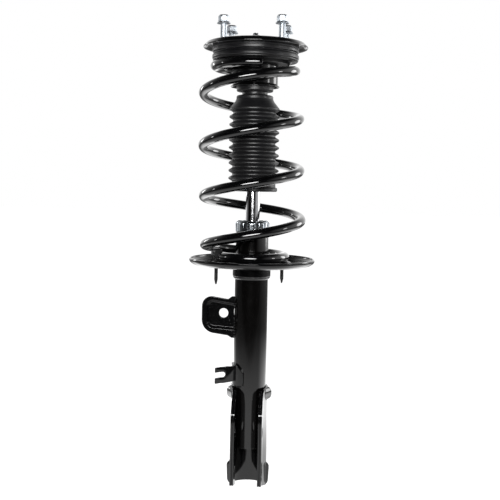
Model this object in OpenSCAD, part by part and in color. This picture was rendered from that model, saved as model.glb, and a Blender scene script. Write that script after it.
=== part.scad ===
// Front suspension strut with its coil spring, rubber boot and top mount, at full droop.
// Lengths are millimetres. The strut's axis is Z, and z = 0 is the top plate's seating face.
// The knuckle bracket opens towards -Y and the link bracket stands out towards -X.

/* [Top mount] */
// Radius of the top plate over its lip
plate_r = 81.5; // [80:0.5:84]
// Radius of the top plate's flat face
plate_flat_r = 73; // [72.5:0.5:74]
// Thickness of the top plate's sheet
plate_t = 3; // [2.6:0.1:3]
// Depth of the lip below the flat face
plate_drop = 7.5; // [6:0.5:9]
// Radius of the studs' plain shank
stud_r = 5; // [4.8:0.1:5.2]
// Diameter of the circle that the four studs stand on
stud_pcd = 125; // [124:0.5:126]
// Turn of the stud square about the axis, in degrees
stud_turn = -2.4; // [-8:0.2:8]
// Height of a stud nut's seat above the plate
nut_z = 22; // [21:0.5:26]
// Width of a stud nut across its flats
nut_flats = 15; // [14:0.5:16]
// Height of a stud nut
nut_h = 13; // [12:0.5:15]

/* [Bearing and upper seat] */
// Radius of the bearing's upper half
race_r = 66.9; // [66:0.1:67.4]
// Number of balls in the bearing
ball_count = 24; // [16:1:28]
// Radius of a ball
ball_r = 3; // [2.5:0.1:3]
// Outer radius of the seat's barrel
barrel_r = 35.6; // [35:0.1:36]
// Level of the barrel's lower edge
barrel_z = -69; // [-72:0.5:-67]

/* [Coil spring] */
// Diameter of the spring's wire
wire_d = 15; // [12:0.5:15]
// Radius of the spring's middle coils, to the wire's centre
coil_r = 75; // [74:0.5:77]
// Radius of the closed coil on the lower seat
tail_r = 49.5; // [49:0.5:50]
// Radius of the closed coil under the upper seat
head_r = 62.5; // [61:0.5:63]
// Rise of the first middle coil
coil_pitch = 75; // [72:0.5:76]
// Growth of that rise up to the last middle coil
pitch_growth = 7; // [0:0.5:8]
// Number of turns from end to end
coil_turns = 5.208; // [5.06:0.002:5.22]
// Level of the wire's centre at its lower end
coil_z = -330.5; // [-331:0.5:-330]
// Rings in each turn of the spring's mesh
coil_rings = 24; // [16:4:32]
// Sides of the spring's mesh
coil_sides = 10; // [6:2:12]

/* [Boot and bump stop] */
// Number of ribs on the boot
rib_count = 10; // [8:1:10]
// Height of one rib
rib_pitch = 11.85; // [11:0.05:12]
// Radius over the ribs
rib_r = 38.9; // [38:0.1:40]
// Radius between the ribs
valley_r = 33.1; // [32.6:0.1:34]
// Level of the first rib
rib_z = -103.2; // [-104:0.1:-102]
// Thickness of the boot's wall
boot_t = 2.2; // [1.6:0.1:2.4]
// Level of the bump stop's lower end
stop_z = -150; // [-160:1:-140]

/* [Damper] */
// Radius of the piston rod
rod_r = 11; // [10.9:0.05:11]
// Outer radius of the reservoir tube
tube_r = 25.4; // [25.4:0.05:25.5]
// Wall of the reservoir tube
tube_t = 2.2; // [2:0.1:2.2]
// Level of the reservoir tube's top
tube_top = -277.5; // [-278:0.5:-277.5]
// Level of the reservoir tube's bottom
tube_bottom = -622; // [-626:1:-620]
// Number of ribs on the bumper cap
cap_ribs = 10; // [8:1:12]

/* [Lower seat] */
// Radius of the lower seat over its rim
seat_r = 97; // [95:0.5:98]
// Level of the lower seat's rim
seat_rim_z = -333.1; // [-334:0.1:-332.4]
// Radius of the seat's collar on the tube
collar_r = 29.3; // [29:0.1:30]

/* [Brackets] */
// Thickness of the link bracket's sheet
link_t = 4; // [3:0.5:4]
// Radius of the link bracket's hole
link_hole_r = 7.2; // [6:0.1:8]
// Width of the hose bracket's slot
hose_slot = 8.2; // [8:0.1:9]
// Thickness of each layer of the knuckle bracket
knuckle_t = 3; // [2.6:0.1:3]
// Clear width between the knuckle bracket's cheeks
knuckle_gap = 35.2; // [34.8:0.1:35.4]
// Radius of the knuckle bolts' holes
bolt_hole_r = 8; // [6:0.1:8]
// Distance between the two knuckle bolts
bolt_gap = 60; // [56:1:64]

/* [Hidden] */
$fn = 96;

// Top mount levels, from the rod's shoulder up to its tip
shoulder_z = -20;
core_z = [-17.5, 1];
rubber_z = [-14, -plate_t];
rubber_r = [12.2, 42];
rod_neck_r = 7;
rod_tip_z = 15.3;
plate_bore_r = 17;
cup_t = 2.5;
cup_bore_r = 14;
stud_knurl_r = stud_r + 0.3;
stud_thread_r = stud_r - 0.3;
stud_top = nut_z + nut_h - 0.2;
stud_head = [8, 2.5];

// Bearing levels: the balls' centres lie in the gap between the two halves
gap_z = -16.25;
half_gap = 0.25;
ball_ring_r = 57;
lower_race_z = -26;

// Barrel and boot
seat_t = 2;
barrel_floor_z = -62;
boot_neck_r = 17.5;
boot_bead_r = 28.5;
boot_mouth_r = 34.4;
boot_lip_r = 37.2;
boot_bottom = -230;

// Closed spring ends: where each one changes pitch and radius, in turns from the lower end
tail_rise = [0.50, 0.87];
mid_rise = [1.28, 3.88];
head_rise = [4.026, 4.827];
tail_flare = [0.38, 0.93];
head_draw = [3.93, 4.48];
tail_angle = 208;
coil_lean = [1.8, -4.8, 2.8];
coil_tilt = 0.028;
wire_r = wire_d / 2;

// Damper insides
bore_r = tube_r - tube_t;
inner_r = 16;
inner_t = 1.5;
run_gap = 0.05;
guide_z = [-304, -284];
guide_step_z = -296;
foot_z = [-616, -600];
rod_end_z = -335;
piston_z = [-355, -337];
spigot_r = 6;

// Lower seat
floor_z = -341.2;
collar_z = [-361, -331.4];
peg_at = [[-54, -12], [45.8, 28]];
peg_r = 2.7;
peg_z = [-367.4, -374.4];
insulator_r = [38.6, 61];
stop_r = [48, 63.4];
stop_angle = [186, 205];
stop_top = -318;

// Link bracket: the discs (X, Z, radius) that its outline and its pressed-in floor run round
link_discs = [[-60.6, -406.8, 15], [-7, -401.6, 1], [-7, -456.4, 1], [-52.6, -427.6, 23]];
pan_discs = [[-59.6, -407.4, 7], [-7, -411.3, 3], [-7, -438.4, 3], [-57.4, -429, 9.2]];
link_step = 5;
link_hole = [-42.2, -419.3];
link_foot = [[-392.6, -402], [-457, -449]];
link_gap = [-25.4, -416, 1.6, 7];

// Hose bracket
hose_at = [-36.2, -510.4];
hose_slope = 0.2;
hose_arm = [7.7, 8.9];
hose_x = [-52.6, -33, -27, -16];
hose_y = -19;
hose_t = 3;
saddle_angle = [180, 253];
saddle_z = [-529, -494.6];
saddle_edge = [
    [-30, saddle_z[1]], [-18.5, saddle_z[1]], [-11, -501.8], [-8.4, -507], [-8.4, saddle_z[0]],
    [-30, saddle_z[0]]
];

// Knuckle bracket: two layers that pinch in ahead of the tube
cheek_in = knuckle_gap / 2;
cheek_mid = cheek_in + knuckle_t;
cheek_out = cheek_mid + knuckle_t;
wrap_r = tube_r + knuckle_t;
cheek_front = -57;
pinch_y = [-7.5, -29.5];
bolt_at = [-40, -622];
cheek_side = [
    [wrap_r + 1, -530], [0, -530], [-24, -532], [-44, -544], [-55, -562], [cheek_front, -575],
    [cheek_front, -667.5], [-10, -680.5], [4, -684], [wrap_r + 1, -686.5]
];
wrap_z = [-700, -500];
swell_r = 9;
swell_skin = 0.4;
upper_swell = [-550, -530];
lower_swell = [-681.2, -645.4];

// Smooth step from 0 at span[0] to 1 at span[1]
function ease(t, span) =
    let (u = min(1, max(0, (t - span[0]) / (span[1] - span[0])))) u * u * (3 - 2 * u);

// Running total of that smooth step, for a rise that changes evenly from one pitch to another
function eased_run(t, span) =
    let (w = span[1] - span[0], u = min(1, max(0, (t - span[0]) / w)))
    w * (u * u * u - u * u * u * u / 2) + max(0, t - span[1]);

// A solid of revolution from a half profile
module turned(profile) {
    rotate_extrude()
        polygon(profile);
}

module ring(r_in, r_out, z_low, z_high) {
    translate([0, 0, z_low])
        difference() {
            cylinder(r = r_out, h = z_high - z_low);
            translate([0, 0, -1])
                cylinder(r = r_in, h = z_high - z_low + 2);
        }
}

// Copies its children to the four stud places
module at_studs() {
    for (i = [0 : 3])
        rotate([0, 0, stud_turn + 45 + 90 * i])
            translate([stud_pcd / 2, 0, 0])
                children();
}

// An outline drawn in X and Z, thickened from y_front to y_back
module upright(y_front, y_back) {
    translate([0, y_back, 0])
        rotate([90, 0, 0])
            linear_extrude(height = y_back - y_front)
                children();
}

// ---- Top mount ----

module mount_plate() {
    lip_r = plate_r - 1.9;
    color([0.09, 0.09, 0.09])
        difference() {
            turned([
                [plate_bore_r, 0], [plate_flat_r, 0], [plate_flat_r + 3.6, -1.4],
                [lip_r, -plate_drop + 2.9], [plate_r, -plate_drop + 0.8],
                [plate_r - 0.4, -plate_drop - 1.2], [lip_r - 1.5, -plate_drop - 0.2],
                [plate_flat_r + 1.8, -plate_t - 1.2], [plate_flat_r - 1.9, -plate_t],
                [plate_bore_r, -plate_t]
            ]);
            at_studs()
                translate([0, 0, -plate_t - 1])
                    cylinder(r = stud_knurl_r + 0.02, h = plate_t + 2);
        }
}

module mount_studs() {
    color([0.75, 0.78, 0.82])
        at_studs()
            turned([
                [0, -plate_t - stud_head[1]], [stud_head[0], -plate_t - stud_head[1]],
                [stud_head[0], -plate_t], [stud_knurl_r, -plate_t], [stud_knurl_r, 0],
                [stud_r, 0], [stud_r, nut_z - 0.6], [stud_thread_r, nut_z - 0.2],
                [stud_thread_r, stud_top - 1], [stud_thread_r - 1, stud_top], [0, stud_top]
            ]);
}

// Flange nuts: a hexagon with a chamfered crown on a round flange
module stud_nuts() {
    corner_r = nut_flats / 2 / cos(30);
    flange_r = 10.3;
    color([0.78, 0.82, 0.86])
        at_studs()
            translate([0, 0, nut_z])
                difference() {
                    union() {
                        turned([
                            [0, 0], [flange_r, 0], [flange_r, 1.1],
                            [nut_flats / 2, 3.4], [0, 3.4]
                        ]);
                        intersection() {
                            translate([0, 0, 1])
                                cylinder(r = corner_r, h = nut_h - 1, $fn = 6);
                            turned([
                                [0, 0], [corner_r + 1, 0], [corner_r + 1, nut_h - 3.2],
                                [nut_flats / 2 - 1.4, nut_h], [0, nut_h]
                            ]);
                        }
                    }
                    translate([0, 0, -1])
                        cylinder(r = stud_thread_r + 0.02, h = nut_h + 2);
                }
}

// The bonded rubber, with the core's flange moulded into it
module mount_rubber() {
    color([0.05, 0.05, 0.05])
        difference() {
            ring(rubber_r[0], rubber_r[1], rubber_z[0], rubber_z[1]);
            core_flange();
        }
}

module core_flange() {
    ring(rubber_r[0] - 0.2, 28, -10, -7);
}

module mount_core() {
    color([0.55, 0.56, 0.58])
        union() {
            ring(rod_neck_r + 0.02, rubber_r[0], core_z[0], core_z[1]);
            core_flange();
        }
}

module mount_cup() {
    cup_out = rubber_r[1] + cup_t;
    color([0.09, 0.09, 0.09])
        turned([
            [cup_bore_r, rubber_z[0]], [rubber_r[1], rubber_z[0]], [rubber_r[1], -plate_t],
            [cup_out, -plate_t], [cup_out, rubber_z[0] - 1.6], [cup_out - 0.9, rubber_z[0] - cup_t],
            [cup_bore_r, rubber_z[0] - cup_t]
        ]);
}

module rod_washer() {
    color([0.55, 0.56, 0.58])
        ring(rod_neck_r + 0.02, 12.8, shoulder_z, core_z[0]);
}

module rod_nut() {
    across = 22;
    nut_h = 9;
    color([0.55, 0.56, 0.58])
        difference() {
            translate([0, 0, core_z[1]])
                cylinder(r = across / 2 / cos(30), h = nut_h, $fn = 6);
            cylinder(r = rod_neck_r + 0.02, h = core_z[1] + nut_h + 1);
        }
}

// Upper half of the bearing, with room for the stud heads and a groove for the balls
module bearing_upper_race() {
    bottom = gap_z + half_gap;
    race_in = rubber_r[1] + cup_t + 0.3;
    color([0.07, 0.07, 0.07])
        difference() {
            turned([
                [race_in, -plate_t], [race_r - 0.6, -plate_t], [race_r, -plate_t - 0.8],
                [race_r, bottom + 1], [race_r - 1, bottom], [race_in, bottom]
            ]);
            at_studs()
                translate([0, 0, -plate_t - stud_head[1] - 0.4])
                    cylinder(r = stud_head[0] + 0.4, h = stud_head[1] + 1);
            ball_groove(ball_r + 0.15);
        }
}

module ball_groove(r) {
    rotate_extrude()
        translate([ball_ring_r, gap_z])
            circle(r = r, $fn = 32);
}

module piston_rod() {
    color([0.8, 0.81, 0.82])
        turned([
            [0, rod_tip_z], [4.2, rod_tip_z], [4.8, rod_tip_z - 0.6], [4.8, 12.2], [6, 12.2],
            [rod_neck_r, 11.2], [rod_neck_r, shoulder_z], [rod_r - 1, shoulder_z],
            [rod_r, shoulder_z - 1], [rod_r, rod_end_z + 0.6], [rod_r - 0.6, rod_end_z],
            [spigot_r, rod_end_z], [spigot_r, piston_z[0] - 11], [0, piston_z[0] - 11]
        ]);
}

module rebound_stop() {
    color([0.3, 0.3, 0.3])
        turned([
            [rod_r + 0.02, -318], [15.2, -318], [15.2, -306], [14.2, guide_z[0] - 0.5],
            [rod_r + 0.02, guide_z[0] - 0.5]
        ]);
}

// The piston has eight oil ports and a groove for its sealing band
module piston() {
    color([0.45, 0.45, 0.46])
        difference() {
            turned([
                [spigot_r + 0.02, piston_z[0]], [15.8, piston_z[0]], [15.8, -350], [14.6, -350],
                [14.6, -342], [15.8, -342], [15.8, piston_z[1]], [spigot_r + 0.02, piston_z[1]]
            ]);
            for (a = [0 : 45 : 315])
                rotate([0, 0, a])
                    translate([10.4, 0, piston_z[0] - 1])
                        cylinder(r = 1.6, h = 20, $fn = 24);
        }
}

module piston_band() {
    color([0.2, 0.2, 0.2])
        ring(14.62, inner_r - run_gap, -350, -342);
}

// A stack of thin spring-steel discs on each face of the piston
module valve_shims() {
    disc_t = 0.5;
    color([0.6, 0.6, 0.62])
        for (i = [0 : 2]) {
            ring(spigot_r + 0.02, 13 - i, piston_z[1] + i * disc_t, piston_z[1] + (i + 1) * disc_t);
            ring(spigot_r + 0.02, 13 - i, piston_z[0] - (i + 1) * disc_t, piston_z[0] - i * disc_t);
        }
}

module piston_nut() {
    top = piston_z[0] - 1.5;
    color([0.5, 0.5, 0.52])
        difference() {
            translate([0, 0, top - 8])
                cylinder(r = 17 / 2 / cos(30), h = 8, $fn = 6);
            translate([0, 0, top - 9])
                cylinder(r = spigot_r + 0.02, h = 10);
        }
}

// ---- Bearing, upper seat, boot and spring ----

module bearing_lower_race() {
    top = gap_z - half_gap;
    color([0.07, 0.07, 0.07])
        difference() {
            turned([
                [45.6, lower_race_z], [45.6, top], [race_r - 1.7, top], [race_r - 1.5, top - 1.8],
                [race_r + 0.1, top - 3.6], [race_r + 0.5, top - 6.6], [race_r + 0.2, top - 8.4],
                [race_r - 0.6, lower_race_z]
            ]);
            ball_groove(ball_r + run_gap);
        }
}

module bearing_balls() {
    color([0.8, 0.8, 0.82])
        for (i = [0 : ball_count - 1])
            rotate([0, 0, 360 * i / ball_count])
                translate([ball_ring_r, 0, gap_z])
                    sphere(r = ball_r, $fn = 24);
}

// Pressed steel seat: a flat ring, a barrel that ends in a flared lip, and the barrel's floor
module upper_spring_seat() {
    flat_z = lower_race_z - seat_t;
    inner = barrel_r - seat_t;
    color([0.08, 0.08, 0.08])
        turned([
            [inner, lower_race_z], [62.4, lower_race_z], [62.4, flat_z], [barrel_r + 1.6, flat_z],
            [barrel_r, flat_z - 1.6], [barrel_r, barrel_z + 3.4], [barrel_r + 2.6, barrel_z + 1.2],
            [barrel_r + 2.2, barrel_z], [barrel_r - 0.6, barrel_z + 1.2], [inner, barrel_z + 3],
            [inner, barrel_floor_z], [boot_neck_r, barrel_floor_z],
            [boot_neck_r, barrel_floor_z + seat_t], [inner, barrel_floor_z + seat_t]
        ]);
}

// Rubber ring between the seat and the spring's closed top coil
module upper_insulator() {
    flat_z = lower_race_z - seat_t;
    hub = barrel_r + 0.1;
    color([0.05, 0.05, 0.05])
        turned([
            [hub, flat_z - 1.8], [hub + 1.6, flat_z], [62.4, flat_z], [62.4, lower_race_z],
            [race_r - 0.8, lower_race_z], [race_r - 0.7, -28], [65, -29.2], [56.6, -29.3],
            [52.4, -34.2], [50.6, -35], [hub, -35.2]
        ]);
}

// Microcellular stop: a stem through the barrel's floor, then three swellings round the rod
module bump_stop() {
    bore = rod_r + 0.5;
    color([0.12, 0.12, 0.11])
        turned([
            [bore, -48], [24, -48], [24, barrel_floor_z + seat_t], [17.2, barrel_floor_z + seat_t],
            [17.2, -83], [23.5, -86], [24.5, -96], [19.5, -103], [23.5, -110], [23.5, -118],
            [18.5, -124], [21.5, -130], [21.5, -137], [17, -142], [15.5, stop_z], [bore, stop_z]
        ]);
}

// Outer half profile of the boot's ribs, from the top: each rib is a blunt tooth
function rib_profile(shrink) = [
    for (i = [0 : rib_count - 1], p = [[0.1, 0], [-0.1, 0], [-0.4, 1], [-0.6, 1]])
        [
            (p[1] == 0 ? rib_r : valley_r) - shrink,
            rib_z - rib_pitch * i + rib_pitch * p[0]
        ]
];

function reversed(points) = [for (i = [len(points) - 1 : -1 : 0]) points[i]];

module dust_boot() {
    outside = concat(
        [[boot_neck_r, barrel_floor_z], [boot_bead_r, barrel_floor_z], [boot_bead_r, -74],
            [boot_bead_r - 1, -75.6], [19.7, -76.4], [19.7, -81], [boot_bead_r - 1.4, -82],
            [boot_bead_r, -83.6], [boot_bead_r, -87.5], [boot_bead_r + 2, -91.5]],
        rib_profile(0),
        [[boot_mouth_r, boot_bottom + 15], [boot_mouth_r, boot_bottom + 6.6],
            [boot_lip_r, boot_bottom + 5.2], [boot_lip_r, boot_bottom + 1.2],
            [boot_lip_r - 1.6, boot_bottom]]
    );
    inside = concat(
        [[boot_neck_r, -82.6], [boot_bead_r - boot_t, -84.6], [boot_bead_r - boot_t, -88.2],
            [boot_bead_r + 2 - boot_t, -92.6]],
        rib_profile(boot_t),
        [[boot_mouth_r - boot_t, boot_bottom + 14.6], [boot_mouth_r - boot_t, boot_bottom]]
    );
    color([0.06, 0.06, 0.06])
        rotate_extrude()
            polygon(concat(outside, reversed(inside)));
}

// The wire's centre line, in turns t from the lower end. The middle coils lean across the
// strut's axis and tilt a little, as a spring that takes side load does, and both closed ends
// lie flat round the axis.
function coil_radius(t) =
    tail_r + (coil_r - tail_r) * ease(t, tail_flare) - (coil_r - head_r) * ease(t, head_draw);

function mid_share(t) = ease(t, tail_flare) * (1 - ease(t, head_draw));

function coil_offset(t) =
    let (s = sin(90 * min(1, max(0, (t - tail_flare[1]) / coil_lean[2]))))
    (coil_lean[0] + (coil_lean[1] - coil_lean[0]) * s) * mid_share(t);

function coil_height(t) =
    coil_z + coil_pitch * eased_run(t, tail_rise) + pitch_growth * eased_run(t, mid_rise)
        - (coil_pitch + pitch_growth) * eased_run(t, head_rise);

function coil_centre(t) =
    let (a = tail_angle + 360 * t, x = coil_radius(t) * cos(a))
    [
        coil_offset(t) + x, coil_radius(t) * sin(a),
        coil_height(t) + coil_tilt * x * mid_share(t)
    ];

function unit(v) = v / norm(v);

// One ring of the wire's mesh, square to the centre line
function coil_ring(t) =
    let (
        d = 0.002,
        a = tail_angle + 360 * t,
        along = unit(coil_centre(t + d) - coil_centre(t - d)),
        out = unit([cos(a), sin(a), 0] - along * (along * [cos(a), sin(a), 0])),
        up = cross(along, out)
    )
    [
        for (i = [0 : coil_sides - 1])
            let (b = 360 * i / coil_sides)
            coil_centre(t) + wire_r * (cos(b) * out + sin(b) * up)
    ];

coil_steps = ceil(coil_turns * coil_rings);

// Least gap between two stretches of the wire that are over half a turn apart
function coil_gap() =
    let (c = [for (i = [0 : coil_steps]) coil_centre(coil_turns * i / coil_steps)])
    min([
        for (i = [0 : coil_steps], j = [i + coil_rings / 2 : coil_steps])
            norm(c[i] - c[j]) - wire_d
    ]);

module coil_spring() {
    n = coil_sides;
    last = coil_steps * n;
    points = [for (i = [0 : coil_steps]) each coil_ring(coil_turns * i / coil_steps)];
    walls = [
        for (i = [0 : coil_steps - 1], j = [0 : n - 1])
            let (a = i * n + j, b = i * n + (j + 1) % n)
            each [[a, a + n, b], [b, a + n, b + n]]
    ];
    start = [for (j = [1 : n - 2]) [0, j, j + 1]];
    finish = [for (j = [1 : n - 2]) [last, last + j + 1, last + j]];
    echo(least_gap_between_coils = coil_gap());
    color([0.04, 0.04, 0.04])
        polyhedron(points = points, faces = concat(walls, start, finish), convexity = 10);
}

// ---- Damper body ----

module reservoir_tube() {
    color([0.08, 0.08, 0.08])
        turned([
            [bore_r, tube_bottom], [tube_r, tube_bottom], [tube_r, tube_top - 1.6],
            [tube_r - 1.6, tube_top], [19, tube_top], [19, tube_top - 2],
            [bore_r, tube_top - 2]
        ]);
}

module tube_end_cap() {
    color([0.08, 0.08, 0.08])
        turned([
            [0, foot_z[0]], [bore_r - 3, foot_z[0]], [bore_r, foot_z[0] + 1.6],
            [bore_r, tube_bottom + 0.6], [bore_r - 1.6, tube_bottom + 0.6],
            [bore_r - 6, foot_z[0] - 2.6], [0, foot_z[0] - 2.6]
        ]);
}

module pressure_tube() {
    color([0.5, 0.5, 0.52])
        ring(inner_r, inner_r + inner_t, foot_z[0] + 8, guide_step_z);
}

// Foot valve: a body in the end of the pressure tube on a slotted foot
module base_valve() {
    step = foot_z[0] + 8;
    color([0.45, 0.45, 0.46])
        difference() {
            turned([
                [2.5, foot_z[0]], [20, foot_z[0]], [20, foot_z[0] + 3], [18, step],
                [inner_r - 0.02, step], [inner_r - 0.02, foot_z[1]], [2.5, foot_z[1]]
            ]);
            for (a = [0, 60, 120])
                rotate([0, 0, a])
                    translate([-22, -2, foot_z[0] - 1])
                        cube([44, 4, 4]);
        }
}

module rod_guide() {
    color([0.45, 0.45, 0.46])
        turned([
            [rod_r + 0.8, guide_z[0]], [inner_r - 0.02, guide_z[0]], [inner_r - 0.02, guide_step_z],
            [bore_r - 0.02, guide_step_z], [bore_r - 0.02, guide_z[1]], [rod_r + 0.8, guide_z[1]]
        ]);
}

module guide_bush() {
    color([0.6, 0.45, 0.3])
        ring(rod_r + run_gap, rod_r + 0.78, guide_z[0] + 1, guide_z[1] - 1);
}

module rod_seal() {
    color([0.1, 0.08, 0.08])
        turned([
            [rod_r + run_gap, guide_z[1]], [bore_r - 0.02, guide_z[1]],
            [bore_r - 0.02, tube_top - 2], [19, tube_top - 2], [14.5, tube_top - 1.2],
            [12.5, tube_top - 3.2], [rod_r + run_gap, tube_top - 2.2]
        ]);
}

// Pressed cap that the bump stop lands on, stiffened by ribs that fold over its edge
module bumper_cap() {
    top = tube_top + 0.1;
    skirt = -292;
    shell_r = tube_r + 0.05;
    rib_w = 4.6;
    color([0.8, 0.84, 0.88])
        difference() {
            union() {
                turned([
                    [12.4, top], [24.2, top], [shell_r, top - 1.2], [shell_r, skirt],
                    [tube_r + 0.7, skirt], [tube_r + 0.7, top - 0.6], [24.4, top + 0.9],
                    [12.4, top + 0.9]
                ]);
                for (i = [0 : cap_ribs - 1])
                    rotate([0, 0, 360 * (i + 0.5) / cap_ribs])
                        translate([0, rib_w / 2, 0])
                            rotate([90, 0, 0])
                                linear_extrude(height = rib_w)
                                    polygon([
                                        [13.6, top + 0.4], [15.4, top + 1.8], [22.4, top + 2.2],
                                        [25.4, top + 1], [26.8, top - 2], [26.8, skirt + 3],
                                        [25.8, skirt + 1], [25.8, top - 0.4], [24.3, top + 0.5]
                                    ]);
            }
            translate([0, 0, skirt - 1])
                cylinder(r = 12.4, h = 20);
        }
}

// Pressed dish with a rolled rim, drilled for the insulator's two pegs
module lower_spring_seat() {
    rim = seat_rim_z;
    underside = floor_z - 2.8;
    color([0.07, 0.07, 0.07])
        difference() {
            turned([
                [tube_r + 0.02, collar_z[0]], [collar_r, collar_z[0]], [collar_r, underside - 3.2],
                [collar_r + 1, underside - 1], [collar_r + 3.4, underside],
                [seat_r - 14, underside], [seat_r - 6, underside + 1.4],
                [seat_r - 1.6, underside + 4.2], [seat_r, underside + 7], [seat_r, rim - 1.6],
                [seat_r - 0.7, rim - 0.3], [seat_r - 1.9, rim], [seat_r - 2.9, rim - 0.7],
                [seat_r - 3.1, floor_z + 5], [seat_r - 5.2, floor_z + 2.2],
                [seat_r - 10, floor_z + 0.4], [seat_r - 15, floor_z], [38, floor_z],
                [33, floor_z + 3], [29.6, collar_z[1] - 2.6], [27, collar_z[1]],
                [tube_r + 0.02, collar_z[1]]
            ]);
            for (p = peg_at)
                translate([p[0], p[1], underside - 1])
                    cylinder(r = peg_r + 0.5, h = 5);
        }
}

module seat_weld_bead() {
    color([0.08, 0.08, 0.08])
        turned([
            [tube_r + 0.02, collar_z[0]], [28.4, collar_z[0]], [28.2, collar_z[0] - 2],
            [27, collar_z[0] - 3.8], [tube_r + 0.02, collar_z[0] - 4.4]
        ]);
}

// Rubber seat: a bed and an inner wall for the closed coil, a stop for the wire's end and two
// locating pegs
module lower_insulator() {
    saddle_z = coil_z - wire_r - 0.1;
    wall_r = tail_r - wire_r - 0.4;
    color([0.05, 0.05, 0.05])
        union() {
            turned([
                [insulator_r[0], floor_z], [insulator_r[1], floor_z],
                [insulator_r[1], saddle_z - 1.4], [insulator_r[1] - 1.2, saddle_z - 0.2],
                [tail_r + 3, saddle_z], [wall_r + 4, saddle_z], [wall_r + 1, saddle_z + 2.2],
                [wall_r, coil_z - 1.5], [wall_r - 1.2, coil_z], [insulator_r[0], coil_z - 1]
            ]);
            rotate([0, 0, stop_angle[0]])
                rotate_extrude(angle = stop_angle[1] - stop_angle[0])
                    polygon([
                        [stop_r[0], floor_z + 1], [insulator_r[1] - 1, floor_z + 1],
                        [insulator_r[1] - 1, coil_z - 2], [stop_r[1], coil_z + 2],
                        [stop_r[1], stop_top - 3], [stop_r[1] - 3, stop_top],
                        [stop_r[0] + 3, stop_top], [stop_r[0], stop_top - 3]
                    ]);
            for (p = peg_at)
                translate([p[0], p[1], 0])
                    turned([
                        [0, floor_z + 1], [peg_r, floor_z + 1], [peg_r, peg_z[0]],
                        [0.5, peg_z[1]], [0, peg_z[1]]
                    ]);
        }
}

// ---- Brackets ----

module round_discs(discs, grow) {
    hull()
        for (d = discs)
            translate([d[0], d[1]])
                circle(r = d[2] + grow, $fn = 48);
}

// Pressed pan: a flat floor set back from its rim, welded edge-on to the tube. Its rim spreads
// into a foot at each end of the weld, and a relief parts its floor from the tube between them.
module sway_link_bracket() {
    rim_y = -link_t / 2 - link_step;
    floor_y = -link_t / 2;
    foot_x = [-20, -27.6, -34];
    color([0.07, 0.07, 0.07])
        difference() {
            union() {
                upright(rim_y, rim_y + link_t)
                    difference() {
                        round_discs(link_discs, 0);
                        round_discs(pan_discs, 0);
                    }
                upright(rim_y, floor_y + link_t)
                    difference() {
                        round_discs(pan_discs, 2);
                        round_discs(pan_discs, -2);
                    }
                upright(floor_y, floor_y + link_t)
                    round_discs(pan_discs, 2);
                for (f = link_foot)
                    upright(rim_y, rim_y + link_t)
                        polygon([
                            [foot_x[0], f[0]], [foot_x[1], f[0]], [foot_x[2], (f[0] + f[1]) / 2],
                            [foot_x[2], f[1]], [foot_x[0], f[1]]
                        ]);
            }
            translate([0, 0, link_foot[1][0] - 10])
                cylinder(r = tube_r + 0.02, h = link_foot[0][0] - link_foot[1][0] + 20);
            translate([link_hole[0], rim_y - 1, link_hole[1]])
                rotate([-90, 0, 0])
                    cylinder(r = link_hole_r, h = link_t + link_step + 3);
            upright(floor_y - 1, floor_y + link_t + 1)
                translate([link_gap[0], link_gap[1]])
                    scale([link_gap[2], link_gap[3]])
                        circle(r = 1, $fn = 32);
        }
}

// Level of the fork's middle line, which slopes up towards the tube
function fork_z(x) = hose_at[1] + hose_slope * (x - hose_at[0]);

// Forked sheet that the brake hose clips into: two arms on a web that turns back to the saddle,
// and between them a slot that ends in a half circle
module hose_bracket() {
    slot_r = hose_slot / 2;
    top = slot_r + hose_arm[0];
    low = -slot_r - hose_arm[1];
    color([0.07, 0.07, 0.07])
        difference() {
            upright(hose_y - hose_t / 2, hose_y + hose_t / 2)
                difference() {
                    offset(r = 1.2, $fn = 24)
                        offset(delta = -1.2)
                            polygon([
                                [hose_x[0], fork_z(hose_x[0]) + top],
                                [hose_x[1], fork_z(hose_x[1]) + top],
                                [hose_x[2], fork_z(hose_x[1]) + top],
                                [hose_x[3], saddle_z[1] + 1], [hose_x[3], fork_z(hose_x[3]) + low],
                                [hose_x[0], fork_z(hose_x[0]) + low]
                            ]);
                    hull()
                        for (x = [hose_at[0] - slot_r, hose_x[0] - 10])
                            translate([x, fork_z(x)])
                                circle(r = slot_r, $fn = 48);
                }
            translate([0, 0, saddle_z[0] - 10])
                cylinder(r = tube_r + hose_t + 0.02, h = saddle_z[1] - saddle_z[0] + 20);
        }
}

module hose_bracket_saddle() {
    color([0.07, 0.07, 0.07])
        intersection() {
            rotate([0, 0, saddle_angle[0]])
                rotate_extrude(angle = saddle_angle[1] - saddle_angle[0])
                    offset(r = 0.8, $fn = 16)
                        offset(delta = -0.8)
                            translate([tube_r + 0.02, saddle_z[0]])
                                square([hose_t, saddle_z[1] - saddle_z[0]]);
            upright(-2 * tube_r, 1)
                offset(r = 4)
                    offset(delta = -4)
                        polygon(saddle_edge);
        }
}

// Plan of the outer layer: half round the tube's back, then a cheek pinched in at each side
module wrap_plan() {
    difference() {
        circle(r = wrap_r);
        circle(r = tube_r + 0.02);
        translate([-wrap_r - 1, -2 * wrap_r])
            square([2 * wrap_r + 2, 2 * wrap_r]);
    }
    for (side = [-1, 1])
        polygon([
            [side * wrap_r, 0.2], [side * (wrap_r - 0.4), pinch_y[0]], [side * cheek_out, pinch_y[1]],
            [side * cheek_out, cheek_front], [side * cheek_mid, cheek_front],
            [side * cheek_mid, pinch_y[1]], [side * (tube_r - 0.3), pinch_y[0]],
            [side * (tube_r + 0.02), 0.2]
        ]);
}

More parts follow.
